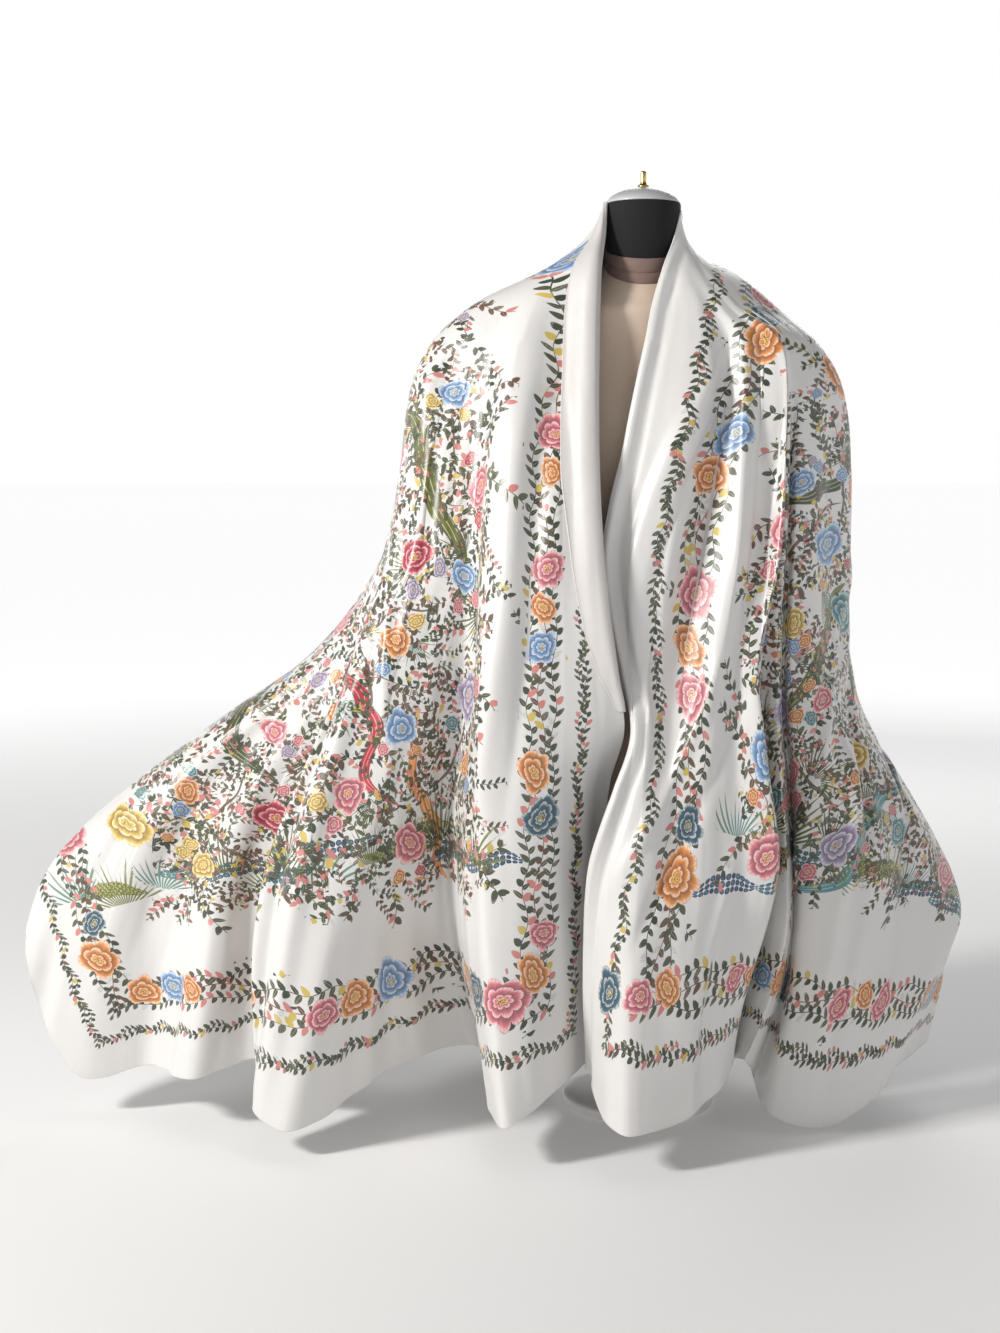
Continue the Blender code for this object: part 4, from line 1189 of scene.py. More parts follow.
    def lay_ground(self) -> None:
        """Grass and dark rounded banks where the field ends above each short hem."""
        for side, up in ((-1, 0), (1, 180)):
            for number in range(15):
                inset = self.field_in + self.draw(1.5, 5.5) * CM
                size = self.draw(4.5, 7.5) * CM
                ink = self.pick(GRASS_INKS)
                at = side * (HALF_LONG - inset), 0.17 + 0.045 * number
                self.tuft(at, up - 90 + self.draw(-12, 12), size, ink)
            for number in range(9):
                v = 0.16 + 0.075 * number + self.draw(-0.02, 0.02)
                inset = self.field_in + self.draw(-1, 5) * CM
                reach, turn = self.draw(4, 7), 90 + self.draw(-14, 14)
                seed = 3 - number % 3 // 2 + 0.9 * self.draw(0, 1)
                at = side * (HALF_LONG - inset), v
                self.stream(at, turn, (reach, 1.2), BANK_INKS[number % 3], seed, (0.5, 8.0), 0.9)

    def lay_flowers(self) -> None:
        """Flowers all over the field, each with two small ones."""
        for i in range(17):
            for j in range(7):
                u = -0.70 + self.flower_step * (i + 0.5 * (j % 2)) + self.draw(-1.8, 1.8) * CM
                v = 0.205 + self.flower_step * 0.93 * j + self.draw(-1.8, 1.8) * CM
                if not self.inside(u, v, 0):
                    continue
                radius = self.draw(1.3, 2.9) * CM
                self.bloom((u, v), radius, self.pick(FIELD_INKS))
                for _ in range(2):
                    way = self.draw(0, 2 * math.pi)
                    spot = u + 1.5 * radius * math.cos(way), v + 1.5 * radius * math.sin(way)
                    ink = self.pick(FIELD_INKS)
                    self.bloom(spot, self.draw(0.6, 1.1) * CM, ink)

    def lay_twigs(self, layer: Layer, spacing: float, sizes: Spot) -> None:
        """Leafy twigs all over the field.

        Args:
            layer: the layer of the print.
            spacing: how far apart they are.
            sizes: the least and the largest pitch of their leaves, in cm.
        """
        for i in range(int(1.44 / spacing)):
            for j in range(int(0.56 / spacing)):
                u = -0.72 + spacing * (i + 0.5 * (j % 2)) + self.draw(-0.3, 0.3) * spacing
                v = 0.17 + spacing * j + self.draw(-0.3, 0.3) * spacing
                if self.inside(u, v, -2 * CM):
                    ink, size = self.pick(TWIG_INKS), self.draw(*sizes) * CM
                    self.sprig(layer, (u, v), int(self.rng.integers(3, 6)), size, ink)

    def lay_tufts(self) -> None:
        """Grass all over the field."""
        for _ in range(self.tufts):
            at = self.draw(-0.68, 0.68), self.draw(0.2, 0.7)
            ink = self.pick(GRASS_INKS)
            self.tuft(at, self.draw(-180, 180), self.draw(2.5, 5.0) * CM, ink)


@dataclass
class Printer:
    """Writes the layout to a piece of cloth, so that each face knows its motif.

    Each layer is two attributes at the face corners: the place in the motif's own units with
    the motif's chance, and the motif's ink.
    """

    layout: Layout = field(default_factory=Layout)
    bin_size: float = 2 * CM
    bin_rows: int = 4096         # more than there are bins across the sheet
    slack: float = 1.45          # how much further than its box a turned motif may reach
    outside: float = 9.0         # a place beyond any motif

    def apply(self, piece: bpy.types.Object, flat: np.ndarray) -> None:
        """Prints a piece.

        Args:
            piece: the piece of cloth.
            flat: each vertex's place on the flat sheet.
        """
        mesh = piece.data
        corners = np.empty(len(mesh.loops), np.int32)
        mesh.loops.foreach_get("vertex_index", corners)
        sizes = np.empty(len(mesh.polygons), np.int32)
        mesh.polygons.foreach_get("loop_total", sizes)
        owner = np.repeat(np.arange(len(sizes)), sizes)
        spots = flat[corners]
        middle = np.stack([np.bincount(owner, spots[:, k]) for k in (0, 1)], 1) / sizes[:, None]
        for layer in Layer:
            place = np.full((len(corners), 3), self.outside)
            ink = np.ones((len(sizes), 4))
            motifs = self.layout.made[layer]
            which = self.claim(middle, motifs)
            for number in np.unique(which[which >= 0]):
                mine = which == number
                at = mine[owner]
                place[at, :2] = motifs[number].local(spots[at])
                place[at, 2] = motifs[number].seed
                ink[mine, :3] = motifs[number].ink.value
            for row in self.layout.rows:
                if row.layer is layer:
                    self.run_round(row, middle, spots, owner, place, ink)
            mark = mesh.attributes.new(f"{layer.value}_place", "FLOAT_VECTOR", "CORNER")
            mark.data.foreach_set("vector", place.astype(np.float32).ravel())
            tint = mesh.attributes.new(f"{layer.value}_ink", "FLOAT_COLOR", "CORNER")
            tint.data.foreach_set("color", ink[owner].astype(np.float32).ravel())

    def claim(self, middle: np.ndarray, motifs: list[Motif]) -> np.ndarray:
        """The number of the motif that each face belongs to, or -1.

        Args:
            middle: the middle of each face on the flat sheet.
            motifs: the motifs of one layer.

        Returns:
            For each face the motif in whose box it lies deepest.
        """
        depth_found = np.full(len(middle), 1.0)
        which = np.full(len(middle), -1)
        cells = np.floor(middle / self.bin_size).astype(int)
        order = np.lexsort((cells[:, 1], cells[:, 0]))
        key = cells[order, 0] * self.bin_rows + cells[order, 1]
        for number, motif in enumerate(motifs):
            reach = max(abs(side) for side in motif.box) * motif.size * self.slack
            low, high = (
                np.floor((np.array(motif.at) + way * reach) / self.bin_size).astype(int) for way in (-1, 1))
            columns = np.arange(low[0], high[0] + 1) * self.bin_rows
            begins = np.searchsorted(key, columns + low[1])
            ends = np.searchsorted(key, columns + high[1], "right")
            faces = np.concatenate([order[first:last] for first, last in zip(begins, ends)])
            x, y = np.moveaxis(motif.local(middle[faces]), -1, 0)
            left, right, down, up = motif.box
            depth = np.maximum(
                np.abs(2 * (x - left) / (right - left) - 1), np.abs(2 * (y - down) / (up - down) - 1))
            won = depth < depth_found[faces]
            depth_found[faces[won]], which[faces[won]] = depth[won], number
        return which

    def run_round(
        self,
        row: Running,
        middle: np.ndarray,
        spots: np.ndarray,
        owner: np.ndarray,
        place: np.ndarray,
        ink: np.ndarray,
    ) -> None:
        """Lays one running border, which goes round the whole sheet.

        Args:
            row: the border.
            middle: the middle of each face.
            spots: the flat place of each face corner.
            owner: the face of each corner.
            place: the motif places of the corners, to write.
            ink: the faces' inks, to write.
        """
        gaps, _ = self.layout.from_edges(middle)
        mine = np.abs(gaps.min(0) - row.inset) < row.reach
        at = mine[owner]
        side = gaps.argmin(0)[owner[at]][None]
        gap, run = (np.take_along_axis(each, side, 0)[0] for each in self.layout.from_edges(spots[at]))
        x = run / row.pitch
        place[at, 0] = x
        place[at, 1] = (gap - row.inset) / row.pitch - row.wave * np.sin(2 * math.pi * x / row.period)
        place[at, 2] = row.seed
        ink[mine, :3] = row.ink.value


def arithmetic(operation: str, swapped: bool = False) -> Callable:
    """A method of Wire that adds a Math node.

    Args:
        operation: the node's operation.
        swapped: whether the wire is its second value.

    Returns:
        The method, which takes the other value if there is one.
    """
    def method(wire: "Wire", *others: "Wire | float") -> "Wire":
        """The outcome of the operation."""
        values = (*others, wire) if swapped else (wire, *others)
        return wire.graph.maths(operation, *values)

    return method


@dataclass(frozen=True, eq=False)
class Wire:
    """An output socket in a material, whose arithmetic adds Math nodes.

    A comparison gives 1 or 0, and part() is what follows the point.
    """

    graph: "Graph"
    socket: bpy.types.NodeSocket

    __add__ = __radd__ = arithmetic("ADD")
    __mul__ = __rmul__ = arithmetic("MULTIPLY")
    __sub__ = arithmetic("SUBTRACT")
    __rsub__ = arithmetic("SUBTRACT", swapped=True)
    __truediv__ = arithmetic("DIVIDE")
    __pow__ = arithmetic("POWER")
    __abs__ = arithmetic("ABSOLUTE")
    __gt__ = arithmetic("GREATER_THAN")
    __lt__ = arithmetic("LESS_THAN")
    floor = arithmetic("FLOOR")
    part = arithmetic("FRACT")
    sine = arithmetic("SINE")
    root = arithmetic("SQRT")
    most = arithmetic("MAXIMUM")
    angle = arithmetic("ARCTAN2")

    def step(self, low: float, high: float) -> "Wire":
        """A soft step from 0 at low to 1 at high."""
        ends = {"Value": self, "From Min": low, "From Max": high}
        return self.graph.node("ShaderNodeMapRange", "Result", ends, interpolation_type="SMOOTHSTEP")


Colour = tuple[float, ...]
Value = Wire | float | Colour


@dataclass
class Graph:
    """The nodes of one material, or of the room."""

    material: bpy.types.Material | bpy.types.World
    main: str = "Principled BSDF"

    def __post_init__(self) -> None:
        """Switches the nodes on."""
        self.material.use_nodes = True
        self.tree = self.material.node_tree
        self.shader = self.tree.nodes[self.main]

    def node(self, kind: str, output: str | int, values: dict[str | int, Value], **settings: object) -> Wire:
        """Adds a node.

        Args:
            kind: the node's type.
            output: which of its outputs is wanted.
            values: its inputs, each a value or a wire.
            settings: its own properties.

        Returns:
            The output.
        """
        made = self.tree.nodes.new(kind)
        for name, setting in settings.items():
            setattr(made, name, setting)
        for name, value in values.items():
            self.feed(made.inputs[name], value)
        return Wire(self, made.outputs[output])

    def feed(self, socket: bpy.types.NodeSocket, value: Value) -> None:
        """Sets a socket, or links a wire to it.

        Args:
            socket: the socket.
            value: the value or the wire.
        """
        if isinstance(value, Wire):
            self.tree.links.new(value.socket, socket)
        else:
            socket.default_value = value

    def maths(self, operation: str, *values: Wire | float) -> Wire:
        """The outcome of a Math node."""
        return self.node("ShaderNodeMath", 0, dict(enumerate(values)), operation=operation)

    def mix(self, share: Value, low: Value, high: Value) -> Wire:
        """A colour between two others.

        Args:
            share: how much of the second.
            low: the first colour.
            high: the second.

        Returns:
            The mixed colour.
        """
        low, high = (value if isinstance(value, Wire) else (*value, 1) for value in (low, high))
        return self.node("ShaderNodeMix", 2, {"Factor": share, 6: low, 7: high}, data_type="RGBA")

    def place(self) -> Wire:
        """The object's own coordinates."""
        return self.node("ShaderNodeTexCoord", "Object", {})

    def noise(self, place: Wire, scale: float, detail: float = 2.0) -> Wire:
        """Smooth noise from 0 to 1."""
        return self.node("ShaderNodeTexNoise", "Fac", {"Vector": place, "Scale": scale, "Detail": detail})

    def join(self, x: Wire | float, y: Wire | float, z: Wire | float) -> Wire:
        """Three values as one vector."""
        return self.node("ShaderNodeCombineXYZ", 0, {"X": x, "Y": y, "Z": z})

    def chance(self, x: Wire | float, y: Wire | float, z: Wire | float) -> Wire:
        """An even chance from 0 to 1 for each whole place."""
        values = {"Vector": self.join(x, y, z)}
        return self.node("ShaderNodeTexWhiteNoise", "Value", values, noise_dimensions="3D")

    def attribute(self, name: str, output: str = "Vector") -> Wire:
        """A mesh attribute's vector or colour."""
        return self.node("ShaderNodeAttribute", output, {}, attribute_name=name)

    def split(self, vector: Wire) -> tuple[Wire, Wire, Wire]:
        """The three parts of a vector."""
        parts = self.node("ShaderNodeSeparateXYZ", 0, {"Vector": vector}).socket.node.outputs
        return tuple(Wire(self, part) for part in parts)

    def bump(self, height: Wire, strength: float, distance: float) -> Wire:
        """A bumped normal."""
        values = {"Height": height, "Strength": strength, "Distance": distance}
        return self.node("ShaderNodeBump", "Normal", values)

    def set(self, **values: Value) -> None:
        """Feeds the shader's own inputs, named with a line between words."""
        for name, value in values.items():
            self.feed(self.shader.inputs[name.replace("_", " ").title()], value)


def finish_named(name: str) -> Graph:
    """A new material's nodes."""
    return Graph(bpy.data.materials.new(name))


@dataclass(frozen=True)
class PlainFinish:
    """A plain surface of one colour, with a fine grain."""

    name: str
    colour: Colour
    roughness: float
    metallic: float = 0.0
    grain: float = 600.0
    uneven: float = 0.10
    bump: float = 0.10
    sheen: float = 0.0
    coat: float = 0.0

    def make(self) -> bpy.types.Material:
        """Makes the material."""
        graph = finish_named(self.name)
        place = graph.place()
        cloudy = graph.noise(place, 14.0, 3.0)
        fine = graph.noise(place, self.grain)
        shade = tuple(c * (1 - self.uneven) for c in self.colour)
        graph.set(
            base_color=graph.mix(cloudy * 0.6 + fine * 0.4, shade, self.colour),
            roughness=cloudy * 0.12 + self.roughness - 0.06,
            metallic=self.metallic,
            normal=graph.bump(fine, self.bump, 0.4 * MM),
            sheen_weight=self.sheen,
            coat_weight=self.coat,
        )
        return graph.material


@dataclass(frozen=True)
class Weave:
    """The satin's own colour, gloss and fine threads."""

    ivory: Colour = (0.76, 0.742, 0.718)
    cool: Colour = (0.69, 0.682, 0.676)
    roughness: float = 0.33
    sheen: float = 0.15
    cloud: float = 18.0
    crinkle: float = 90.0
    thread: float = 1300.0

    def lay(self, graph: Graph) -> Wire:
        """Sets everything but the colour, and gives the plain colour.

        Args:
            graph: the material's nodes.

        Returns:
            The colour of the unprinted cloth.
        """
        place = graph.place()
        cloudy = graph.noise(place, self.cloud, 3.0)
        threads = graph.noise(place, self.thread)
        graph.set(
            roughness=cloudy * 0.10 + self.roughness - 0.05,
            normal=graph.bump(threads * 0.25 + graph.noise(place, self.crinkle), 0.22, 1.2 * MM),
            sheen_weight=self.sheen,
        )
        return graph.mix(cloudy, self.cool, self.ivory)


def plain_satin() -> bpy.types.Material:
    """The reverse of the satin, greyer and duller."""
    graph = finish_named("satin_reverse_cloth")
    graph.set(base_color=Weave((0.64, 0.615, 0.595), (0.56, 0.54, 0.53), 0.44, 0.1).lay(graph))
    return graph.material


@dataclass(frozen=True)
class Brush:
    """What a motif's painter works with: the place in the motif, its chance and its ink."""

    graph: Graph
    x: Wire
    y: Wire
    seed: Wire
    ink: Wire


Painted = tuple[Wire, Wire]


@dataclass(frozen=True)
class PrintedSatin:
    """Ivory satin with the flowered print drawn on it.

    Each painter draws the motifs of a layer or two.
    """

    weave: Weave = Weave()
    petal_rings: tuple[tuple[float, float], ...] = ((0.17, 0.15), (0.42, 0.22), (0.70, 0.28))
    leaf_slant: float = math.radians(52)
    bank_above: float = 1.99     # the chance above which a band is a spotted bank
    berries_above: float = 2.99  # and a row of berries
    endless: tuple[float, float] = (0.36, 0.38)   # the chances of the twigs that run all round

    def make(self) -> bpy.types.Material:
        """Makes the material."""
        graph = finish_named("printed_satin_cloth")
        colour = self.weave.lay(graph)
        for layer, painter in zip(Layer, (self.stream, self.tuft, self.sprig, self.sprig, self.bloom)):
            spot = graph.split(graph.attribute(f"{layer.value}_place"))
            cover, paint = painter(Brush(graph, *spot, graph.attribute(f"{layer.value}_ink", "Color")))
            colour = graph.mix(cover, colour, paint)
        graph.set(base_color=colour)
        return graph.material

    def bloom(self, brush: Brush) -> Painted:
        """A full flower of three rings of petals, each with a pale rim and a fine dark line.

        Args:
            brush: the place in the motif, its chance and its ink.

        Returns:
            How much it covers, and its paint.
        """
        graph, x, y, seed = brush.graph, brush.x, brush.y, brush.seed
        out = (x * x + y * y).root()
        turn = y.angle(x) / (2 * math.pi)
        petals = 5 + (seed * 2.99).floor()
        deep = graph.mix(0.62, brush.ink, (0.05, 0.03, 0.05))
        pale = graph.mix(0.55, brush.ink, (0.95, 0.90, 0.84))
        inside = out * 0 + 0.07
        paint = deep
        streak = abs((turn * petals * 5 + out * 0.6 + seed).part() * 2 - 1).step(0.55, 1.0)
        for number, (base, swell) in enumerate(self.petal_rings):
            phase = (turn * petals + seed * 7 + 0.37 * number).part() * 2 - 1
            edge = base + swell * (1 - phase * phase).most(0.0).root()
            share = ((out - inside) / (edge - inside)).most(0.0)
            petal = graph.mix(share.step(0.0, 0.75), deep, brush.ink)
            petal = graph.mix(share.step(0.50, 0.85) * (1 - streak * 0.7), petal, pale)
            line = share.step(0.90, 0.97).most(abs(phase).step(0.93, 0.99) * share.step(0.2, 0.6))
            petal = graph.mix(line * 0.85, petal, deep)
            paint = graph.mix((inside - out).step(0.012, -0.012), paint, petal)
            inside = edge
        dots = (out < 0.16) * (graph.noise(graph.join(x, y, seed), 26.0, 0.0) > 0.52)
        return (inside - out).step(0.0, 0.03), graph.mix(dots, paint, (0.80, 0.62, 0.20))

    def sprig(self, brush: Brush) -> Painted:
        """A stem with a pair of slanting leaves in each of its units.

        Args:
            brush: the place in the motif, its chance and its ink.

        Returns:
            How much it covers, and its paint.
        """
        graph, x, y, seed = brush.graph, brush.x, brush.y, brush.seed
        cell, side = x.floor(), y > 0
        luck, fate = graph.chance(cell, side, seed), graph.chance(cell, side, seed + 5)
        shift = x.part() - 0.04 - 0.26 * side - 0.08 * fate
        cosine, sine = math.cos(self.leaf_slant), math.sin(self.leaf_slant)
        rise = abs(y)
        along, aside = shift * cosine + rise * sine, rise * cosine - shift * sine
        share = along / (0.70 + 0.42 * luck)
        swell = (share * (1 - share)).most(0.0) * 4
        half = (0.22 + 0.10 * fate) * swell.root() * (1.2 - 0.5 * share)
        leaf = (half - abs(aside)).step(0.0, 0.035) * (luck > 0.06)
        low, high = self.endless
        stem = (0.055 - rise).step(0.0, 0.03) * (abs(x) < 8.5 + 900 * (seed < high) * (seed > low))
        bright = graph.mix(fate > 0.95, (0.60, 0.23, 0.21), (0.60, 0.46, 0.12))
        dark = graph.mix(luck * 0.6, brush.ink, (0.13, 0.13, 0.08))
        vein = abs(aside).step(0.04, 0.0) * (fate < 0.4) * 0.55
        return leaf.most(stem), graph.mix(vein, graph.mix(fate > 0.84, dark, bright), (0.50, 0.50, 0.36))

    def stream(self, brush: Brush) -> Painted:
        """A streamer or branch, or by its chance a spotted bank or a row of berries.

        Args:
            brush: the place in the motif, its chance and its ink.

        Returns:
            How much it covers, and its paint.
        """
        graph, x, y, seed = brush.graph, brush.x, brush.y, brush.seed
        band = (1.0 - abs(y)).step(0.0, 0.10)
        streaks = (y * 1.6 + (x * 0.55 + seed * 9).sine() * 0.5).part() * 2 - 1
        plain = graph.mix(abs(streaks).step(0.72, 0.95) * 0.55, brush.ink, (0.88, 0.82, 0.72))
        plain = graph.mix(abs(y).step(0.70, 0.92) * 0.6, plain, (0.05, 0.05, 0.04))
        column, row = x * 1.6, y * 1.5 + 0.5
        along, aside = column.part() * 2 - 1, row.part() * 2 - 1
        ball = along * along + aside * aside
        rim = ball.step(0.30, 0.55) * ball.step(0.95, 0.70)
        spotted = graph.mix(rim * 0.75, brush.ink, (0.80, 0.78, 0.45))
        bank = (seed > self.bank_above) * (seed < self.berries_above)
        berries = seed > self.berries_above
        luck = graph.chance(column.floor(), row.floor(), 4.0)
        berry = graph.mix(ball.step(0.5, 0.0) * luck, brush.ink, (0.16, 0.32, 0.42))
        cover = band * (1 - berries * (1 - (0.85 + 0.3 * luck - ball).step(0.0, 0.25)))
        return cover, graph.mix(berries, graph.mix(bank, plain, spotted), berry)

    def tuft(self, brush: Brush) -> Painted:
        """A fan of grass blades from a root.

        Args:
            brush: the place in the motif, its chance and its ink.

        Returns:
            How much it covers, and its paint.
        """
        graph, x, y, seed = brush.graph, brush.x, brush.y, brush.seed
        up = y + 0.22
        out = (x * x + up * up).root()
        fan = x.angle(up) * (5.0 + seed * 4) + out * (seed - 0.5) * 5
        luck = graph.chance(fan.floor(), seed, 3.0)
        aside = abs(fan.part() * 2 - 1)
        width = 0.95 * (1 - out / (0.55 + 0.62 * luck)).most(0.0) ** 0.7
        cover = (width - aside).step(0.0, 0.15) * (y > -0.08) * (abs(x) < 0.9)
        return cover, graph.mix(luck * 0.6, brush.ink, (0.22, 0.25, 0.08))


@dataclass(frozen=True)
class Lapel:
    """The strip of the left front that is turned back, with the cloth's reverse showing.

    cover gives the share of the first coarse bay that it covers, by height in cm.
    """

    cover: tuple[tuple[float, float], ...] = (
        (94.0, 1.0), (66.0, 1.0), (58.0, 0.78), (51.0, 0.55), (46.5, 0.32), (43.5, 0.12))
    rise: float = 7.0 * MM       # how far the strip bows off the face
    roll: float = 2.0 * MM       # radius of the fold at the front edge
    end_lift: float = 1.5 * MM   # how far the free edge stands off the face
    fullness: float = 1.6        # how much further it bows near the fold
    roll_share: float = 0.2     # the roll's radius is at most this share of the strip's width
    bow_share: float = 0.3       # and the bow's height this share
    roll_columns: int = 6
    columns: int = 18

    def grid(self, cloth: ClothGrid, bay: int) -> ClothGrid:
        """The strip's own grid, from the front edge round the fold and over the face.

        Args:
            cloth: the whole cloth.
            bay: how many columns the first bay has.

        Returns:
            The strip as a small cloth.
        """
        heights, shares = zip(*reversed(self.cover))
        rows = int((cloth.points[0, :, 2] > heights[0] * CM).sum()) // 2 * 2 + 1
        edge, way_in = cloth.points[0, :rows], cloth.along[0, :rows]
        face = cloth.normals[0, :rows]
        share = np.interp(edge[:, 2] / CM, heights, shares)
        reach = np.linalg.norm(cloth.points[bay, :rows] - edge, axis=1) * share
        radius = np.minimum(self.roll, self.roll_share * reach)[:, None]
        lines = []
        for k in range(self.roll_columns):
            turn = math.pi * (k / self.roll_columns - 0.5)
            lines.append(edge + face * radius * (1 + math.sin(turn)) - way_in * radius * math.cos(turn))
        tall = np.minimum(self.rise, self.bow_share * reach)
        row = np.arange(rows)
        for k in range(self.columns + 1):
            part = k / self.columns
            at = share * part * bay
            low = np.minimum(at.astype(int), bay - 1)
            f = (at - low)[:, None]
            spot = cloth.points[low, row] * (1 - f) + cloth.points[low + 1, row] * f
            out = unit(cloth.normals[low, row] * (1 - f) + cloth.normals[low + 1, row] * f)
            swell = math.sin(math.pi * min(1.0, part * 0.9 + 0.1)) ** 0.7
            bow = tall * swell * (1 - part) * self.fullness
            lift = 2 * radius[:, 0] * (1 - part) + np.maximum(bow, 0) + self.end_lift * part
            lines.append(spot + out * lift[:, None])
        points = np.array(lines)
        across = np.concatenate([np.zeros((1, rows)), np.cumsum(gaps_along(points, 0), 0)])
        down = cloth.flat[0, :rows, 0]
        flat = np.stack(np.broadcast_arrays(down[None], -across), -1)
        return ClothGrid(points, flat, [0, len(points) - 1])


@dataclass
class Shawl:
    """The shawl on its form: eight stretches of one sheet, and the turned-back strip."""

    drape: Drape = field(default_factory=Drape)
    relief: Relief = field(default_factory=Relief)
    shell: Shell = field(default_factory=Shell)
    lapel: Lapel = field(default_factory=Lapel)
    printer: Printer = field(default_factory=Printer)
    half_above: float = 42 * CM      # the cells are two columns wide above this height
    quarter_above: float = 79 * CM   # and four above this

    def build(self) -> list[bpy.types.Object]:
        """Makes all the pieces of cloth."""
        cloth, starts = self.drape.fine()
        self.relief.shape(cloth)
        satin, reverse = PrintedSatin().make(), plain_satin()
        end = len(cloth.points) - 1
        begins = [cloth.starts[starts[fold] + past] for _, fold, past in STRETCHES] + [end]
        pieces = []
        for (node, _, _), first, last in zip(STRETCHES, begins, begins[1:]):
            left = Border.SEAM if first else Border.ROLLED
            right = Border.ROLLED if last == end else Border.SEAM
            stretch = Stretch(node, cloth, first, last, left, right)
            data = self.shell.build(stretch, self.widths(cloth))
            pieces.append(data.make((satin, reverse)))
            self.printer.apply(pieces[-1], np.concatenate(data.flats))
            self.declare(pieces[-1], node)
        strip = self.lapel.grid(cloth, cloth.starts[starts["left_band"]])
        stretch = Stretch("scarf_left_lapel", strip, 0, len(strip.points) - 1, Border.SEAM, Border.ROLLED)
        piece = self.shell.build(stretch, np.ones(strip.points.shape[1] - 1, int)).make((reverse, satin))
        self.declare(piece, stretch.name)
        return pieces + [piece]

    def widths(self, cloth: ClothGrid) -> np.ndarray:
        """How many columns a cell takes in each row: four at the collar, then two, then one.

        Args:
            cloth: the whole cloth.

        Returns:
            A number for each row of cells.
        """
        height = cloth.points[:, :, 2].mean(0)
        rows = np.arange(len(height) - 1)
        quarter, half = (
            int((height > above).sum()) // 2 * 2 for above in (self.quarter_above, self.half_above))
        return np.where(rows < quarter, 4, np.where(rows < half, 2, 1))

    def declare(self, piece: bpy.types.Object, node: str) -> None:
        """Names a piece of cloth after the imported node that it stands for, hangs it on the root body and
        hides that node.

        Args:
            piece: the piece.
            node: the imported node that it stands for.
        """
        piece.name = f"{node}_cloth"
        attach(piece, "root")
        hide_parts(node)


@dataclass(frozen=True)
class Turning:
    """A turned part of the form.

    profile has a row per ring: radius, height on the axis, both in cm, and, where it leans,
    how much a ring rises per cm towards the back.
    """

    node: str
    slot: str
    profile: Rows
    sides: int = 96

    def build(self, material: bpy.types.Material) -> bpy.types.Object:
        """Makes the part.

        Args:
            material: its finish.

        Returns:
            The object.
        """
        rings = []
        for radius, height, *lean in self.profile:
            count = self.sides if radius else 1
            turn = 2 * np.pi * np.arange(count) / self.sides
            x, y = radius * np.cos(turn), radius * np.sin(turn)
            rings.append(np.stack([x, y, height + sum(lean) * y], 1) * CM)
        return loft(self.node, rings, material)


def loft(node: str, rings: list[np.ndarray], material: bpy.types.Material) -> bpy.types.Object:
    """Joins rings of points into a closed smooth surface that stands for a node.

    Args:
        node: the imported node.
        rings: the rings from one end to the other, each of one point at a tip.
        material: the finish.

    Returns:
        The object, declared to the frame.
    """
    begins = np.cumsum([0] + [len(ring) for ring in rings])
    faces = []
    for low, high, begin, after in zip(rings, rings[1:], begins, begins[1:]):
        count = max(len(low), len(high))
        for k in range(count):
            n = (k + 1) % count
            face = [begin + k % len(low), begin + n % len(low)]
            face += [after + n % len(high), after + k % len(high)]
            faces.append([int(v) for v in dict.fromkeys(face)])
    mesh = bpy.data.meshes.new(node)
    mesh.from_pydata(np.concatenate(rings).tolist(), [], faces)
    mesh.materials.append(material)
    mesh.validate()
    mesh.shade_smooth()
    mesh.set_sharp_from_angle(angle=math.radians(38))
    piece = bpy.data.objects.new(f"{node}_surface", mesh)
    bpy.context.scene.collection.objects.link(piece)
    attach(piece, "root")
    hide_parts(node)
    return piece


